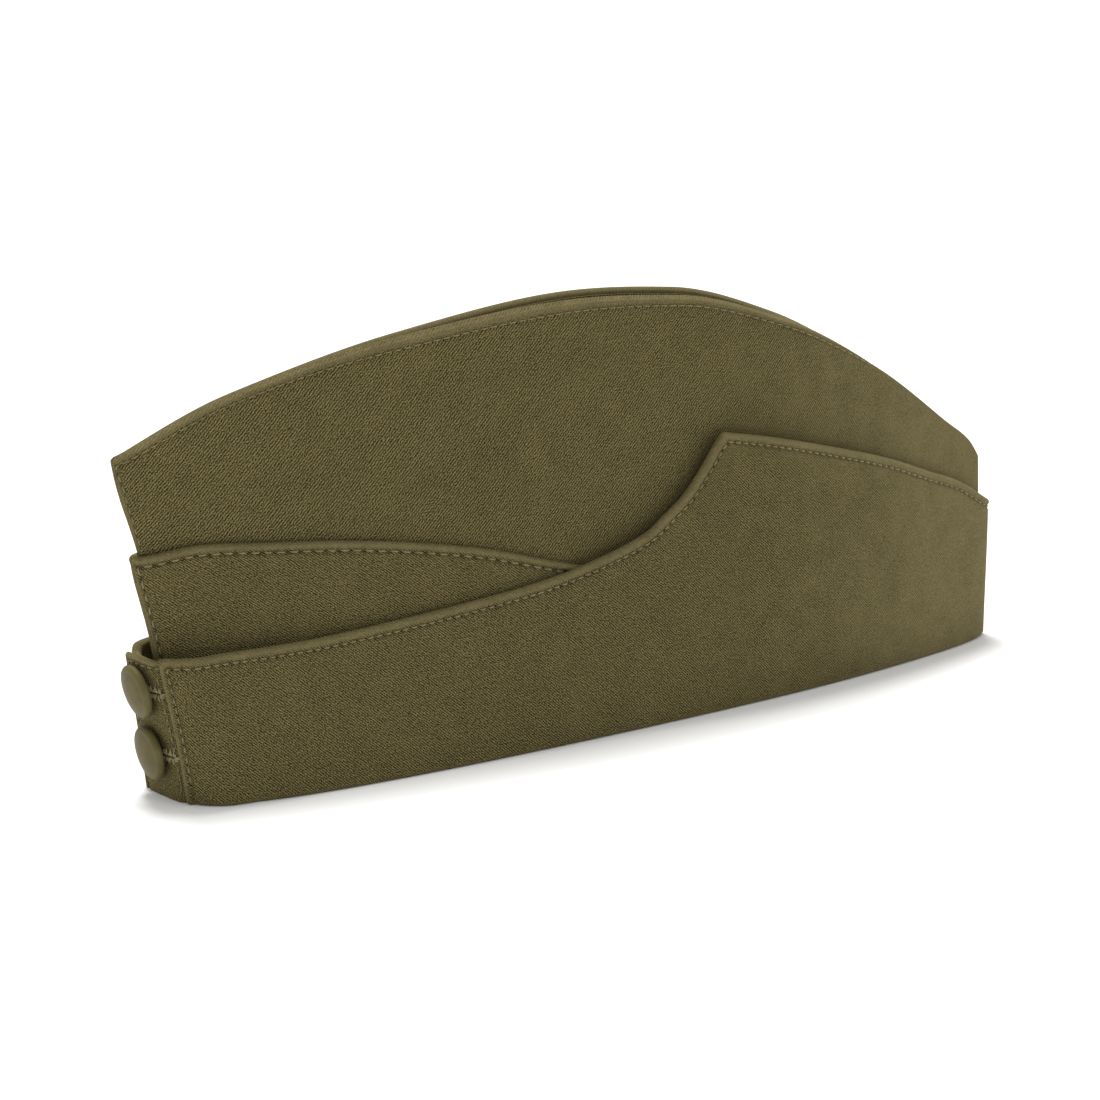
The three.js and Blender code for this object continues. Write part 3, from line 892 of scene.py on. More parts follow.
    def with_lip(self, out: Array, z: Array, cloth_z: Array, rub_and_painted_light: Array) -> tuple[Array, Array, Array, Array]:
        """Adds the turned-in foot: a quarter circle under the outer face and a flat lip under the crown.

        Args:
            out: Stand-offs of the section.
            z: Heights of the section.
            cloth_z: Place of each corner up the cloth.
            rub_and_painted_light: Rubbing and painted light of each corner.

        Returns:
            The same four with the lip's corners added.
        """
        radius = self.foot_radius
        angle = np.linspace(0.5 * np.pi, 0.0, FOLD_ROWS)[:-1]
        ones = np.ones((len(z), 1))
        end = -self.form.crown_cloth * ones
        corner = out[:, :1] - radius * (1.0 - np.cos(angle))
        low_out = np.concatenate([end, mix(end, corner[:, :1], 0.5), corner], axis=1)
        low_z = ones * np.concatenate([[0.0, 0.0], radius * (1.0 - np.sin(angle))])
        z[:, -1] = self.form.foot_top
        turned = low_out - corner[:, :1] - radius
        turned[:, 2:] = -radius * angle
        low_worn = ones * np.concatenate([[0.0, 0.0], self.foot_wear * np.sin(2.0 * angle)])
        return (np.concatenate([low_out, out, end], axis=1),
                np.concatenate([low_z, z, self.form.foot_top * ones], axis=1),
                np.concatenate([turned + cloth_z[:, :1], cloth_z, cloth_z[:, -1:] + self.lip_length], axis=1),
                np.concatenate([low_worn, rub_and_painted_light, 0.0 * ones], axis=1))

    def sewn_line(self) -> tuple[Array, Array]:
        """Whole stitch line: beside the first end, round the corner, under the edge, and down at the other end.

        Returns:
            Arcs and heights along it.
        """
        column = int(np.argmin(np.abs(self.depth[0, :self.outer_rows] - self.inset)))
        kept = self.share > self.least_share
        for beside, inset in zip(self.beside, self.end_insets):
            kept &= beside[:, column] > (self.corner * inset / self.inset if inset > 0.0 else self.end_clear)
        upper = self.arcs[kept], mix(self.top, self.line(self.inset), self.share)[kept]
        sides = [(np.empty(0), np.empty(0)), (np.empty(0), np.empty(0))]
        for which in self.sewn_ends:
            start = tuple(from_end(values, which)[0] for values in upper)
            sides[which] = self.line_beside(which, start, column)
        first = len(sides[0][0])
        self.upper_run = slice(first, first + len(upper[0]))
        arcs, heights = (np.concatenate([before[::-1], run, after])
                         for before, run, after in zip(sides[0], upper, sides[1]))
        return arcs, heights

    def run_length(self) -> Array:
        """Length along the stitch line at each corner: by place under the edge, by height beside a sewn end.

        Returns:
            Lengths in millimetres, counted from the line's first point.
        """
        arcs, heights = self.sewn_line()
        run = running_length(self.on_face(arcs, heights)[0]) / MM
        upper = self.upper_run
        length = np.interp(self.rising, self.sign * arcs[upper], run[upper])[:, None] + 0.0 * self.depth
        parts = (slice(0, upper.start), slice(upper.stop, None))
        for which in self.sewn_ends:
            climb, down = (from_end(values[parts[which]], which) for values in (heights, run))
            length = np.where(self.beside[which] < self.depth, np.interp(self.z, climb, down), length)
        return length

    def line_beside(self, which: int, start: tuple[float, float], column: int) -> tuple[Array, Array]:
        """Stitch line beside one end, from a place under the edge: a parabola round the corner, then down.

        Args:
            which: The end, 0 or 1.
            start: Arc and height where the corner begins.
            column: Row of corners that lies on the line under the edge.

        Returns:
            Arcs and heights from the corner to the foot.
        """
        inset = self.end_insets[which]
        gaps = from_end(self.beside[which], which)[:, :self.outer_rows].T
        arcs = np.array([np.interp(inset, gap, from_end(self.arcs, which)) for gap in gaps])
        heights = np.array([np.interp(inset, gap, z) for gap, z in zip(gaps, from_end(self.z, which).T)])
        down = (heights < heights[column] - (self.corner - self.inset)) & (heights > self.side_foot)
        side_arcs, side_heights = arcs[down][::-1], heights[down][::-1]
        t = np.linspace(0.0, 1.0, self.corner_steps)[1:-1]
        turn = [(1 - t) ** 2 * a + 2 * t * (1 - t) * b + t * t * c for a, b, c in zip(
            start, (arcs[column], heights[column]), (side_arcs[0], side_heights[0]))]
        return np.concatenate([turn[0], side_arcs]), np.concatenate([turn[1], side_heights])

    def on_face(self, arcs: Array, z: Array) -> tuple[Array, Array]:
        """Points on the outer face, down in the stitch groove, and the outward directions there."""
        loop = self.form.loop_of(arcs)
        out = self.inner(loop, z) + self.cloth - self.thread_depth * self.stitching.groove
        here = self.form.place(loop, out, z, self.seam(loop), self.curtain)
        ahead = self.form.place(loop, out + 1.0, z, self.seam(loop), self.curtain)
        normal = (ahead - here) / MM
        return here, normal / np.linalg.norm(normal, axis=1, keepdims=True)

    def stitches(self) -> bpy.types.Object:
        """Mesh of every stitch of this layer: one small arched thread for each."""
        paths = [self.sewn_line()]
        for arc in self.lines:
            top = np.interp(arc * self.sign, self.rising, self.line(self.inset))
            z = np.arange(self.line_foot, top - self.line_step, self.line_step)
            paths.append((np.full_like(z, arc), z))
        solids = [self.stitching.threads(*self.on_face(arcs, z)) for arcs, z in paths]
        return make_mesh(self.name + "_stitches", *joined(solids))


@dataclass
class Bench:
    """Hands finished pieces over to the frame: each gets its material, its body and its nodes."""

    body: str = "root"

    def hand_over(self, piece: bpy.types.Object, material: bpy.types.Material, slot: str, *nodes: str) -> None:
        """Dresses one piece and ties it to the frame.

        Args:
            piece: The finished object.
            material: Its finish.
            slot: Material slot of the record that it belongs to; not used.
            nodes: Nodes of the construction model that it stands for.
        """
        piece.data.materials.append(material)
        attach(piece, self.body)
        if nodes:
            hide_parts(*nodes)
        LOG.info("%s: %d faces", piece.name, len(piece.data.polygons))


@dataclass
class SewnPart:
    """Part of the cap that is made of sewn layers of cloth."""

    form: CapForm
    step: float = 0.55
    fine: float = 0.22

    def layers(self) -> dict[str, ClothLayer]:
        """Layers by the node of the construction model that each stands for."""
        return {}

    def trim(self, piece: bpy.types.Object) -> None:
        """Cuts openings into a built layer; a part without openings leaves it whole."""

    def on_lip(self, loop: Array) -> Array:
        """Foot of a layer that stands on the curtain's lip."""
        return np.full_like(loop, self.form.crown_foot)

    def build(self, bench: Bench, cloth: bpy.types.Material, thread: bpy.types.Material) -> None:
        """Builds and dresses every layer and its stitches.

        Args:
            bench: Where finished pieces go.
            cloth: The part's cloth.
            thread: Its sewing thread.
        """
        for node, layer in self.layers().items():
            piece = layer.build()
            self.trim(piece)
            bench.hand_over(piece, cloth, CLOTH_SLOT, node)
            bench.hand_over(layer.stitches(), thread, CLOTH_SLOT)


@dataclass
class Crown(SewnPart):
    """Two side panels that meet in a sewn crease at the front, and the gusset folded down between their ridges."""

    ridge_inset: float = 3.0
    crease_inset: float = 2.6
    front_corner: float = 4.0
    rear_corner: float = 2.5
    bulge: float = 1.2
    bulge_height: float = 79.0
    ridge_share: ShareCurve = ShareCurve((
        (0, 0.78), (0.15, 0.82), (0.33, 1.03), (0.45, 1.06), (0.6, 0.93), (0.7, 0.8), (0.78, 0.57), (0.87, 0.15),
        (0.92, 0.1), (1, 0.1)))
    gusset_stations: int = 420
    gusset_wall: int = 18
    gusset_reach: tuple[float, float] = (0.15, 0.945)
    gusset_taper: float = 0.12
    gusset_wave: float = 0.22
    gusset_waves: float = 60.0
    gusset_weave: float = 0.9
    fold_cloths: float = 1.5

    def layers(self) -> dict[str, ClothLayer]:
        """Side panels by node."""
        return {f"crown_{side.word}": self.panel(side) for side in Side}

    def panel(self, side: Side) -> ClothLayer:
        """One side panel, from the front crease to the rear seam."""
        form = self.form
        length = form.arc_of(np.array([1.0]))[0]
        return ClothLayer(
            name=f"crown_{side.word}_panel", form=form, cloth=form.crown_cloth, curtain=False,
            arcs=side.value * spaced(1e-3, length, self.step, self.fine),
            inner=lambda loop, z: form.front_bulge(loop, z, self.bulge, self.bulge_height) - form.crown_cloth,
            edge=lambda loop, along: (form.ridge_height(along) - form.corner_drop(loop, self.front_corner)
                                      - form.corner_drop(1.0 - np.abs(loop), self.rear_corner)),
            foot=self.on_lip, seam=form.butted_seam, inset_share=self.ridge_share,
            inset=self.ridge_inset, roll=0.5, end_insets=(self.crease_inset, 0.0), corner=3.8,
            stitching=Stitching(pitch=2.9, share=0.8, radius=0.2, groove=0.3, pucker=0.1))

    def gusset(self) -> bpy.types.Object:
        """Trough between the ridges: half ellipses that follow the panels' inner faces.

        Each wall stands at half * sqrt(1 - t^2) from the middle plane, with t running from its edge to the fold.
        """
        form = self.form
        start, end = self.gusset_reach
        along = np.linspace(start, end, self.gusset_stations)[:, None]
        turn = form.turn_at(along)
        ends = smooth((along - start) / self.gusset_taper) * smooth((end - along) / self.gusset_taper)
        top = form.ridge_height(along) - form.gusset_drop - form.gusset_sink * (1.0 - ends)
        depth = mix(form.gusset_depth / 3.0, form.gusset_depth, ends)
        t = np.sin(np.linspace(0.0, 0.5 * np.pi, self.gusset_wall + 1))[None, :]
        wave = self.gusset_wave * np.sin(along * self.gusset_waves) * np.sin(np.pi * t)
        shift = wave + form.undulation(turn, top) * 0.5 * (1.0 - t)

        rings = []
        inner = (form.gusset_cloth, self.fold_cloths * form.gusset_cloth, -1.0)
        for cloth, fold, first in ((0.0, 0.0, 1.0), inner):
            x, plan = form.half_plan(turn, form.crown_cloth + form.ply_gap + cloth, top, False)
            half = np.maximum(plan, 0.5 * form.seam_gap) * np.sqrt(1.0 - t * t)
            z = top - (depth - fold) * t
            lean = form.skew(turn, first, top)
            near, far = (np.stack([x + way * lean + 0.0 * z, way * first * half + shift, z], axis=-1)
                         for way in (1.0, -1.0))
            rings += [near, far[:, -2::-1]]
        points = np.concatenate(rings, axis=1) - np.array([form.shift, 0.0, 0.0])
        run = np.cumsum(np.ones(points.shape[:2]), axis=1) * self.gusset_weave
        weave = np.stack([points[..., 0], run], axis=-1) * MM
        return make_mesh("crown_gusset", points * MM, swept_faces(points[..., 1:]), weave, 0.0 * run)

    def build(self, bench: Bench, cloth: bpy.types.Material, thread: bpy.types.Material) -> None:
        """Builds and dresses the panels, then the gusset.

        Args:
            bench: Where finished pieces go.
            cloth: The crown's cloth.
            thread: Its sewing thread.
        """
        super().build(bench, cloth, thread)
        bench.hand_over(self.gusset(), cloth, CLOTH_SLOT, "crown_top")


@dataclass
class FrontFlap(SewnPart):
    """Flap turned up against the crown, in two halves that meet in a sewn crease."""

    edge_inset: float = 2.5
    crease_inset: float = 2.6
    front_corner: float = 2.2
    bulge: float = 0.9
    bulge_height: float = 57.0

    def layers(self) -> dict[str, ClothLayer]:
        """Both halves by node."""
        return {f"front_flap_{side.word}": self.half(side) for side in Side}

    def half(self, side: Side) -> ClothLayer:
        """One half, from the front crease back to where it dies out behind the curtain."""
        form = self.form
        end = form.turn_at(form.flap_line.rows[-1][0])
        length = form.arc_of(np.array([end]))[0]
        return ClothLayer(
            name=f"flap_{side.word}_half", form=form, cloth=form.flap_cloth, curtain=False,
            arcs=side.value * spaced(1e-3, length, self.step, self.fine),
            inner=lambda loop, z: form.front_bulge(loop, z, self.bulge, self.bulge_height) + form.ply_gap,
            edge=lambda loop, along: form.flap_top(along) - form.corner_drop(loop, self.front_corner),
            foot=self.on_lip, seam=form.butted_seam,
            inset=self.edge_inset, roll=0.35, end_insets=(self.crease_inset, 0.0), corner=3.4,
            stitching=Stitching(pitch=3.6, share=0.66, radius=0.24, groove=0.48))


@dataclass
class Curtain(SewnPart):
    """Turned-up band round the cap, its foot folded in under the crown; the left end laps over the tab."""

    fine: float = 0.2
    edge_inset: float = 2.5
    front_inset: float = 2.1

    def layers(self) -> dict[str, ClothLayer]:
        """Both sides by node."""
        return {"curtain_left": self.left(), "curtain_right": self.right()}

    def left(self) -> ClothLayer:
        """Left side, from the rear seam to its folded front end."""
        form = self.form
        start, end = form.arc_of(np.array([-1.0, -form.left_seam]))
        return ClothLayer(
            name="curtain_left_side", form=form, cloth=form.curtain_cloth, curtain=True, lip=True,
            arcs=spaced(start, end, self.step, self.fine), inner=form.left_inner,
            edge=lambda loop, along: form.curtain_top(along), seam=form.butted_seam,
            inset=self.edge_inset, ends=(End.BUTTED, End.FOLDED), end_insets=(0.0, self.front_inset), corner=3.2)

    def right(self) -> ClothLayer:
        """Right side, from the rear seam round the front to its end under the tab."""
        form = self.form
        start, end = form.arc_of(np.array([1.0, -form.underlap]))

        def edge(loop: Array, along: Array) -> Array:
            """Curtain's edge, drawn down where it lies under the tab."""
            hidden = 1.0 - smooth((loop - form.tab_free) / form.joggle)
            return form.curtain_top(along) - 2.0 * form.tab_drop * hidden

        return ClothLayer(
            name="curtain_right_side", form=form, cloth=form.curtain_cloth, curtain=True, lip=True,
            arcs=spaced(start, end, self.step, self.fine), inner=form.under_curtain, edge=edge,
            seam=form.crossing_seam, inset=self.edge_inset)


@dataclass(frozen=True)
class TabFront:
    """Where a button sits on the tab: the middle of its outer face at one height."""

    form: CapForm
    height: float

    def point(self, z: float) -> Array:
        """Middle of the tab's outer face at a height, in millimetres."""
        loop, z = np.zeros(1), np.array([z])
        return self.form.place(loop, self.form.tab_face(loop, z), z, 0.0, True)[0] / MM

    @property
    def centre(self) -> Array:
        """The place itself."""
        return self.point(self.height)

    @property
    def face(self) -> Array:
        """Direction square to the tab there."""
        rise = self.point(self.height + 0.5) - self.point(self.height - 0.5)
        rise /= np.linalg.norm(rise)
        return np.array([-rise[2], 0.0, rise[0]])


@dataclass
class FrontTab(SewnPart):
    """Tab that laps round the front centre, with two worked buttonholes."""

    step: float = 0.35
    fine: float = 0.2
    heights: tuple[float, float] = (12.0, 28.5)
    edge_inset: float = 2.0
    line_ahead: float = 1.3
    slot_length: float = 8.9
    slot_radius: float = 1.0
    slit: float = 0.13
    slit_taper: float = 0.3
    free_corner: float = 2.2
    thread_pitch: float = 0.52
    thread_reach: float = 1.5
    thread_radius: float = 0.21
    thread_sink: float = 0.05
    thread_start: float = 0.25
    fan_threads: int = 5
    uneven: tuple[float, float] = (0.3, 0.45)

    def layers(self) -> dict[str, ClothLayer]:
        """The tab's cloth, from its free edge on the right to its end under the left curtain."""
        form = self.form
        start, end = form.arc_of(np.array([form.tab_free, -form.tab_end]))
        seam = form.arc_of(np.array([-form.left_seam]))[0]

        def foot(loop: Array) -> Array:
            """The tab reaches the ground where it is free, and stands on the lip where it is covered."""
            return form.crown_foot * smooth((-loop - form.underlap) / (form.left_seam - form.underlap))

        def edge(loop: Array, along: Array) -> Array:
            """The tab's edge runs just under the curtain's and is rounded down at its free corner."""
            fall = corner_fall(start - form.arc_of(loop), self.free_corner)
            return form.curtain_top(along) - form.tab_drop - fall

        return {"front_tab": ClothLayer(
            name="front_tab_cloth", form=form, cloth=form.tab_cloth, curtain=True,
            arcs=spaced(start, end, self.step, self.fine, 3.0), inner=form.tab_inner,
            edge=edge, foot=foot, seam=form.crossing_seam,
            inset=self.edge_inset, roll=0.2, ends=(End.FOLDED, End.BUTTED), end_insets=(2.0, 0.0), corner=3.4,
            lines=(seam + self.line_ahead,), seam_valley=0.0)}

    def slot_half(self, y: Array) -> Array:
        """Half height of the buttonhole: round about the shank, then a narrow slit to its closed left end."""
        eye = np.sqrt(np.clip(self.slot_radius ** 2 - y ** 2, 0.0, None))
        taper = np.sqrt(np.clip((y + self.slot_length - self.slot_radius) / self.slit_taper, 0.0, 1.0))
        return np.maximum(eye, self.slit * taper * (y < 0.0))

    def slot_cutter(self, centre: Array) -> bpy.types.Object:
        """Level prism with the buttonhole's outline, from the button's shank to the left."""
        y = np.concatenate([self.slot_radius * np.cos(np.linspace(0.0, 0.9 * np.pi, 15)),
                            np.linspace(-1.3, self.slot_radius - self.slot_length, 12)])
        half = self.slot_half(y)
        outline = np.concatenate([np.stack([y, half], axis=1), np.stack([y, -half], axis=1)[-2:0:-1]])
        count = len(outline)
        x = np.repeat(centre[0] + np.array([-8.0, 12.0]), count)
        y, z = np.tile(outline + [0.0, centre[2]], (2, 1)).T
        return make_mesh("slot_cutter", np.stack([x, y, z], axis=-1) * MM, tube_faces(2, count))

    def trim(self, piece: bpy.types.Object) -> None:
        """Cuts both slots through the tab and keeps the result as its mesh."""
        cutters = [self.slot_cutter(TabFront(self.form, height).centre) for height in self.heights]
        for cutter in cutters:
            modifier = piece.modifiers.new("slot", "BOOLEAN")
            modifier.operation, modifier.solver, modifier.object = "DIFFERENCE", "EXACT", cutter
        evaluated = piece.evaluated_get(bpy.context.evaluated_depsgraph_get())
        mesh = bpy.data.meshes.new_from_object(evaluated)
        piece.modifiers.clear()
        piece.data = mesh
        for cutter in cutters:
            bpy.data.objects.remove(cutter)

    def overcast(self) -> bpy.types.Object:
        """Buttonhole thread: short bars square to the slot's edge along both sides, and a fan round its end."""
        end = self.slot_radius - self.slot_length
        foot = np.arange(end + self.thread_start, 0.6, self.thread_pitch)
        fan = np.linspace(0.6, 1.4, self.fan_threads) * np.pi
        start_y = np.concatenate([foot, foot + 0.4 * self.thread_pitch, np.full(len(fan), end + 0.2)])
        start_z = np.concatenate([self.slot_half(foot), -self.slot_half(foot), np.zeros(len(fan))])
        turn = np.concatenate([np.full(len(foot), 0.5 * np.pi), np.full(len(foot), -0.5 * np.pi), fan])
        steps = np.linspace(0.0, 1.0, THREAD_STEPS)[None, :]
        number = np.arange(len(turn))
        longer, tilt = self.uneven
        length = self.thread_reach * (1.0 + longer * np.sin(number * 9.0))[:, None]
        lean = tilt * np.sin(number * 5.0)[:, None]
        y = start_y[:, None] + length * steps * np.cos(turn[:, None] + lean)
        z = start_z[:, None] + length * steps * np.sin(turn[:, None] + lean)
        solids = [self.on_tab(y, z + TabFront(self.form, height).centre[2]) for height in self.heights]
        return make_mesh("buttonhole_thread", *joined(solids))

    def on_tab(self, y: Array, z: Array) -> tuple[Array, list[list[int]]]:
        """Lays thread paths on the tab's outer face.

        Args:
            y: Sideways places, in millimetres.
            z: Heights.

        Returns:
            Corners of every thread, and their faces.
        """
        form = self.form
        loops = np.linspace(-form.tab_end, form.tab_free, 400)
        level = np.full_like(loops, 20.0)
        table = form.place(loops, form.tab_face(loops, level), level, 0.0, True)[:, 1] / MM
        loop = np.interp(y, table, loops)
        outer = form.tab_face(loop, z)
        here = form.place(loop, outer, z, 0.0, True)
        ahead = form.place(loop, outer + 1.0, z, 0.0, True)
        return thread_solids(here, ahead - here, self.thread_radius * MM, self.thread_sink * MM)

    def build(self, bench: Bench, cloth: bpy.types.Material, thread: bpy.types.Material) -> None:
        """Builds and dresses the tab, then the thread of its buttonholes.

        Args:
            bench: Where finished pieces go.
            cloth: The tab's cloth.
            thread: Its sewing thread.
        """
        super().build(bench, cloth, thread)
        silk = SewingThread("buttonhole_silk", dark=(118.0, 108.0, 72.0), light=(168.0, 154.0, 110.0))
        bench.hand_over(self.overcast(), silk.material(), CLOTH_SLOT)


@dataclass
class CoveredButton:
    """Domed button with a rounded rim, and the thread shank that holds it."""

    node: str
    form: CapForm
    height: float
    diameter: float = 14.0
    thickness: float = 3.4
    shank: float = 1.4
    stand_off: float = 0.7
    seat: float = 0.3
    turned: float = 6.0
    rim_drop: float = 0.05
    groove: tuple[float, float] = (0.09, 0.45)
    flare: tuple[float, float] = (0.25, 0.15)
    segments: int = 72

    def profile(self) -> Array:
        """Outline from the shank's foot round the rim to the dome: quarter circles, then r and h of a parabola."""
        radius, rim = self.diameter / 2.0, self.thickness / 3.0
        foot = self.stand_off + self.form.tab_cloth + self.form.ply_gap - self.seat
        stem, (flare, flare_height) = self.shank / 2.0, self.flare
        under = [(0.0, -foot), (stem, -foot), (stem, -0.5 * foot), (stem, -flare_height), (stem + flare, 0.0)]
        under += [(mix(stem + flare, radius - rim, t), 0.0) for t in (0.35, 0.7, 1.0)]
        angle = np.linspace(0.0, np.pi, 13)[1:]
        rim_part = np.stack([radius - rim + rim * np.sin(angle), rim - rim * np.cos(angle)], axis=1)
        t = np.linspace(0.0, 1.0, 26)[1:]
        groove_place, groove_width = self.groove
        groove = -self.rim_drop * bell((t - groove_place) * radius, groove_width)
        dome = np.stack([(radius - rim) * (1.0 - t),
                         mix(2.0 * rim, self.thickness, 1.0 - (1.0 - t) ** 2) + groove], axis=1)
        return np.concatenate([np.array(under), rim_part, dome])

    def build(self, bench: Bench, finish: bpy.types.Material) -> None:
        """Spins the outline about the button's axis, and dresses the button.

        Args:
            bench: Where finished pieces go.
            finish: The button's surface.
        """
        place = TabFront(self.form, self.height)
        axis = np.array(Matrix.Rotation(-math.radians(self.turned), 3, "Z") @ Vector(place.face))
        side = np.cross(axis, [0.0, 0.0, 1.0])
        side /= np.linalg.norm(side)
        profile, count = self.profile(), self.segments
        angle = 2.0 * np.pi * np.arange(count) / count
        spoke = np.cos(angle)[:, None] * side + np.sin(angle)[:, None] * np.cross(side, axis)
        base, body = place.centre + self.stand_off * place.face, profile[1:-1]
        ring = base + body[:, None, 1:] * axis + body[:, None, :1] * spoke[None, :, :]
        poles = base + profile[[0, -1], 1:] * axis
        points = np.concatenate([ring.reshape(-1, 3), poles]) * MM
        last, foot = (len(body) - 1) * count, len(body) * count
        pairs = [(a, (a + 1) % count) for a in range(count)]
        faces = ring_faces(len(body), count).tolist() + [[foot, b, a] for a, b in pairs]
        faces += [[foot + 1, last + a, last + b] for a, b in pairs]
        bench.hand_over(make_mesh(self.node + "_disc", points, faces, sharp=70.0), finish, BUTTON_SLOT, self.node)


class Signal:
    """A number in a material, on which Python arithmetic adds Math nodes."""

    def __init__(self, kit: "NodeKit", socket: bpy.types.NodeSocket) -> None:
        """Wraps one output socket."""
        self.kit, self.socket = kit, socket

    def __add__(self, other: "Signal | float") -> "Signal":
        """Sum."""
        return self.kit.maths("ADD", self, other)

    def __sub__(self, other: "Signal | float") -> "Signal":
        """Difference."""
        return self.kit.maths("SUBTRACT", self, other)

    def __rsub__(self, other: float) -> "Signal":
        """Difference from a plain number."""
        return self.kit.maths("SUBTRACT", other, self)

    def __mul__(self, other: "Signal | float") -> "Signal":
        """Product."""
        return self.kit.maths("MULTIPLY", self, other)

    __radd__ = __add__
    __rmul__ = __mul__


class NodeKit:
    """Node tree of one material."""

    def __init__(self, name: str) -> None:
        """Starts an empty material."""
        self.material = bpy.data.materials.new(name)
        self.material.use_nodes = True
        self.tree = self.material.node_tree
        self.tree.nodes.clear()

    def node(self, kind: str, settings: dict | None = None, inputs: dict | None = None) -> bpy.types.Node:
        """Adds one node.

        Args:
            kind: The node's type.
            settings: Its own settings, by name.
            inputs: Values or links of its sockets, by name or number.

        Returns:
            The new node.
        """
        node = self.tree.nodes.new(kind)
        for key, value in (settings or {}).items():
            setattr(node, key, value)
        for key, value in (inputs or {}).items():
            source = value.socket if isinstance(value, Signal) else value
            if isinstance(source, bpy.types.NodeSocket):
                self.tree.links.new(source, node.inputs[key])
            else:
                node.inputs[key].default_value = source
        return node

    def maths(self, operation: str, *values: "Signal | float") -> Signal:
        """Adds one Math node."""
        node = self.node("ShaderNodeMath", {"operation": operation}, dict(enumerate(values)))
        return Signal(self, node.outputs[0])

    def noise(self, vector: bpy.types.NodeSocket, scale: float, detail: float = 2.0, rough: float = 0.5) -> Signal:
        """Centred noise, between about -0.5 and 0.5."""
        node = self.node("ShaderNodeTexNoise", {}, {
            "Vector": vector, "Scale": scale, "Detail": detail, "Roughness": rough})
        return Signal(self, node.outputs["Fac"]) - 0.5

    def span(self, value: Signal, low: float, high: float) -> Signal:
        """Smooth step of a value between two bounds."""
        node = self.node("ShaderNodeMapRange", {"interpolation_type": "SMOOTHSTEP"}, {
            "Value": value, "From Min": low, "From Max": high})
        return Signal(self, node.outputs["Result"])

    def blend(self, factor: Signal, first: object, second: object) -> bpy.types.NodeSocket:
        """Mix of two colours."""
        node = self.node("ShaderNodeMix", {"data_type": "RGBA"}, {0: factor, 6: first, 7: second})
        return node.outputs[2]

    def object_place(self) -> bpy.types.NodeSocket:
        """Object coordinates."""
        return self.node("ShaderNodeTexCoord").outputs["Object"]

    def parts(self, vector: bpy.types.NodeSocket) -> list[Signal]:
        """The three numbers of a vector."""
        node = self.node("ShaderNodeSeparateXYZ", {}, {0: vector})
        return [Signal(self, socket) for socket in node.outputs]

    def bump(self, height: Signal, depth: float, strength: float) -> bpy.types.NodeSocket:
        """Normal shaken by a height, which is measured in units of the depth."""
        node = self.node("ShaderNodeBump", {}, {"Height": height, "Distance": depth, "Strength": strength})
        return node.outputs["Normal"]

    def surface(self, inputs: dict) -> bpy.types.Material:
        """Finishes the material with a Principled surface."""
        shader = self.node("ShaderNodeBsdfPrincipled", {}, inputs)
        self.node("ShaderNodeOutputMaterial", {}, {"Surface": shader.outputs[0]})
        return self.material


def tint(red: float, green: float, blue: float) -> tuple[float, float, float, float]:
    """Linear colour from values between 0 and 255 as a screen shows them."""
    linear = [((c / 255.0 + 0.055) / 1.055) ** 2.4 for c in (red, green, blue)]
    return (*linear, 1.0)


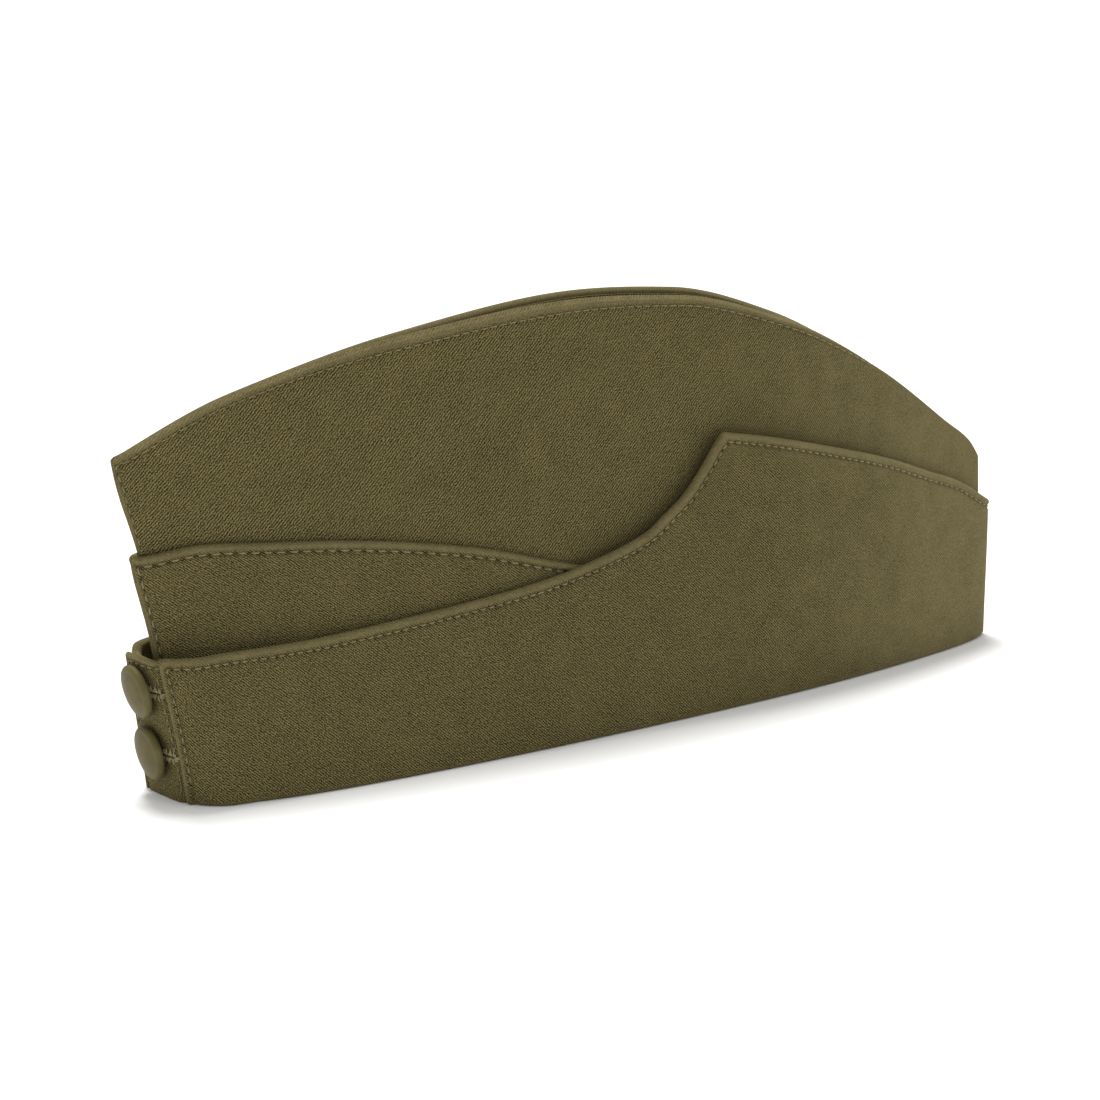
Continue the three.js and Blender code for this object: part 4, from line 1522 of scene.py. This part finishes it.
@dataclass(frozen=True)
class WoolTwill:
    """Olive wool twill: slanting ribs of yarn, mottled dye, fuzz, and lighter colour on the rolls from rubbing and
    a painted highlight, and towards the rear from painted light.
    """

    name: str
    slant: float
    dark: tuple[float, float, float] = (36.0, 31.0, 14.0)
    light: tuple[float, float, float] = (126.0, 115.0, 74.0)
    # Tint the rolls are lifted towards by rubbing and a painted highlight, and the rear by painted light
    rub_and_painted_light_tint: tuple[float, float, float] = (142.0, 131.0, 94.0)
    pitch: float = 0.62
    rib_depth: float = 0.055
    rib_sways: tuple[tuple[float, float], ...] = ((460.0, 5.0), (1500.0, 4.0))
    # Object x over which the cloth is painted lighter towards the rear, as painted light
    painted_rear_light_start: float = 0.015
    painted_rear_light_end: float = 0.13

    def material(self) -> bpy.types.Material:
        """Builds the node tree: ribs are a sine across the slant, shaken by noise and softer on the rolls and
        towards the rear, where the colour is lifted by rubbing and painted light.
        """
        kit = NodeKit(self.name)
        cloth = kit.node("ShaderNodeUVMap", {"uv_map": WEAVE_MAP}).outputs["UV"]
        place = kit.object_place()
        u, v, _ = kit.parts(cloth)
        rub_and_painted_light = Signal(kit, kit.node("ShaderNodeAttribute", {"attribute_name": RUB_AND_PAINTED_LIGHT}).outputs["Fac"])
        angle = math.radians(self.slant)
        wave_number = 2.0 * math.pi / (self.pitch * MM)
        across = u * (wave_number * math.sin(angle)) + v * (wave_number * math.cos(angle))
        for scale, reach in self.rib_sways:
            across = across + kit.noise(cloth, scale, 1.0) * reach
        rib = kit.maths("SINE", across)
        along = u * (0.5 * wave_number * math.cos(angle)) - v * (0.5 * wave_number * math.sin(angle))
        strand = kit.maths("SINE", along + kit.noise(cloth, 1100.0, 1.0) * 9.0)
        yarn = rib * (strand * 0.5 + 0.8)
        grain = kit.noise(cloth, 2500.0, 2.0, 0.7)
        fuzz = kit.noise(cloth, 900.0, 4.0, 0.65)
        mottle = kit.noise(place, 150.0, 4.0, 0.6)
        patch = kit.noise(place, 28.0, 2.0)
        x, _, _ = kit.parts(place)
        # Painted light: lighter colour towards the rear, standing in for light falling there; the ribs are also
        # softened there
        fade = kit.span(x + patch * 0.03, self.painted_rear_light_start, self.painted_rear_light_end)
        # Rubbing and painted highlight on the rolls, and painted light on the inner face under the edge, from the
        # attribute above nothing
        roll = kit.maths("MAXIMUM", rub_and_painted_light, 0.0)
        plain = 1.0 - fade * 0.5 - roll * 0.6
        shade = 0.4 + (yarn * 0.56 + grain * 3.4) * plain + fuzz * 0.5 + mottle * 0.3 + patch * 0.15
        # Painted shade along the stitch lines and at the needle holes, from the attribute below nothing
        shade = shade + kit.maths("MINIMUM", rub_and_painted_light, 0.0) * 0.3
        base = kit.blend(kit.maths("MINIMUM", kit.maths("MAXIMUM", shade, 0.0), 1.0), tint(*self.dark),
                         tint(*self.light))
        # Colour lifted towards the lighter tint by rubbing and a painted highlight on the rolls, and by painted
        # light towards the rear
        lift = kit.span(roll * (0.36 - fade * 0.3) + fade * 0.34 + fuzz * 0.2 + mottle * 0.15, 0.0, 1.0)
        colour = kit.blend(lift, base, tint(*self.rub_and_painted_light_tint))
        height = (yarn * 0.6 + grain * 0.6) * plain + fuzz * 0.6
        return kit.surface({
            "Base Color": colour,
            "Roughness": 0.92 + mottle * 0.12 - roll * 0.05,
            "Normal": kit.bump(height, self.rib_depth * MM, 0.8),
            "Specular IOR Level": 0.12,
            "Sheen Weight": 0.1,
            "Sheen Roughness": 0.5,
            "Sheen Tint": tint(200.0, 185.0, 140.0),
        })


@dataclass(frozen=True)
class SewingThread:
    """Olive cotton thread, a little lighter than the cloth, with the twist of its plies."""

    name: str = "olive_thread"
    dark: tuple[float, float, float] = (98.0, 88.0, 55.0)
    light: tuple[float, float, float] = (142.0, 130.0, 92.0)

    def material(self) -> bpy.types.Material:
        """Builds the node tree: fine bands of noise for the plies."""
        kit = NodeKit(self.name)
        place = kit.object_place()
        ply = kit.noise(place, 3200.0, 2.0)
        shade = kit.span(0.5 + ply + kit.noise(place, 60.0) * 0.8, 0.0, 1.0)
        return kit.surface({
            "Base Color": kit.blend(shade, tint(*self.dark), tint(*self.light)),
            "Roughness": 0.66 + ply * 0.2,
            "Normal": kit.bump(ply, 0.04 * MM, 0.6),
            "Sheen Weight": 0.1,
        })


@dataclass(frozen=True)
class SatinButton:
    """Olive button face: satin, with soft clouding and fine scuffs."""

    name: str = "satin_button"
    dark: tuple[float, float, float] = (76.0, 69.0, 39.0)
    light: tuple[float, float, float] = (101.0, 92.0, 56.0)

    def material(self) -> bpy.types.Material:
        """Builds the node tree: soft clouding in the colour and fine scuffs in the gloss."""
        kit = NodeKit(self.name)
        place = kit.object_place()
        cloud = kit.noise(place, 240.0, 3.0)
        scuff = kit.noise(place, 1900.0, 3.0, 0.7)
        shade = kit.span(0.5 + cloud * 0.9 + scuff * 0.35, 0.0, 1.0)
        return kit.surface({
            "Base Color": kit.blend(shade, tint(*self.dark), tint(*self.light)),
            "Roughness": 0.54 + scuff * 0.25 + cloud * 0.1,
            "Normal": kit.bump(scuff * 0.4 + cloud, 0.03 * MM, 0.5),
            "Specular IOR Level": 0.16,
        })


@dataclass(frozen=True)
class FloorPaper:
    """White paper sweep under the cap."""

    name: str = "white_paper"

    def material(self) -> bpy.types.Material:
        """Builds the node tree: a very faint tooth."""
        kit = NodeKit(self.name)
        tooth = kit.noise(kit.object_place(), 900.0, 2.0)
        return kit.surface({
            "Base Color": kit.blend(0.5 + tooth, tint(250.0, 250.0, 249.0), tint(254.0, 254.0, 253.0)),
            "Roughness": 0.9 + tooth * 0.05,
        })


@dataclass(frozen=True)
class Studio:
    """White floor, even sky, one broad soft light from above and a little beyond, and the camera."""

    azimuth: float = -36.65
    elevation: float = 13.25
    distance: float = 1.03039
    target: tuple[float, float, float] = (-0.01217, 0.0, 0.04621)
    lens: float = 126.98
    floor_half: float = 6.0
    sky: float = 0.75
    key_from: tuple[float, float, float] = (0.06, 0.28, 1.0)
    key_strength: float = 2.6
    key_spread: float = 18.0

    def floor(self) -> None:
        """Lays the floor."""
        half = self.floor_half
        corners = np.array([[-half, -half, 0.0], [half, -half, 0.0], [half, half, 0.0], [-half, half, 0.0]])
        mesh = bpy.data.meshes.new("floor")
        mesh.from_pydata(corners.tolist(), [], [[0, 1, 2, 3]])
        piece = bpy.data.objects.new("floor", mesh)
        bpy.context.scene.collection.objects.link(piece)
        mesh.materials.append(FloorPaper().material())

    def lights(self) -> None:
        """Sets the sky and the key light."""
        scene = bpy.context.scene
        scene.view_settings.view_transform = "Standard"
        world = bpy.data.worlds.new("studio")
        world.use_nodes = True
        world.node_tree.nodes["Background"].inputs["Color"].default_value = (1.0, 1.0, 1.0, 1.0)
        world.node_tree.nodes["Background"].inputs["Strength"].default_value = self.sky
        scene.world = world
        sun = bpy.data.lights.new("key", "SUN")
        sun.energy, sun.angle = self.key_strength, math.radians(self.key_spread)
        lamp = bpy.data.objects.new("key", sun)
        lamp.rotation_euler = Vector(self.key_from).to_track_quat("Z", "Y").to_euler()
        scene.collection.objects.link(lamp)

    def camera(self) -> None:
        """Places the camera at the photograph's angle."""
        a, e = math.radians(self.azimuth), math.radians(self.elevation)
        back = Vector((math.sin(a) * math.cos(e), -math.cos(a) * math.cos(e), math.sin(e)))
        lens = bpy.data.cameras.new("camera")
        lens.lens, lens.sensor_width, lens.clip_start = self.lens, 36.0, 0.01
        viewer = bpy.data.objects.new("camera", lens)
        viewer.location = Vector(self.target) + back * self.distance
        viewer.rotation_euler = back.to_track_quat("Z", "Y").to_euler()
        bpy.context.scene.collection.objects.link(viewer)
        bpy.context.scene.camera = viewer

    def build(self) -> None:
        """Builds the whole set."""
        self.floor()
        self.lights()
        self.camera()


def main() -> None:
    """Builds the cap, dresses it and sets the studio."""
    logging.basicConfig(level=logging.INFO, format="%(name)s: %(message)s")
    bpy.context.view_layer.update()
    form = CapForm()
    bench = Bench()
    thread = SewingThread().material()
    Crown(form).build(bench, WoolTwill("crown_twill", slant=38.0).material(), thread)
    FrontFlap(form).build(bench, WoolTwill("flap_twill", slant=-40.0).material(), thread)
    Curtain(form).build(bench, WoolTwill("curtain_twill", slant=-44.0).material(), thread)
    tab = FrontTab(form)
    tab.build(bench, WoolTwill("tab_twill", slant=-44.0).material(), thread)
    button_finish = SatinButton().material()
    for node, height in zip(("button_lower", "button_upper"), tab.heights):
        CoveredButton(node, form, height).build(bench, button_finish)
    Studio().build()


if __name__ == "__main__":
    main()
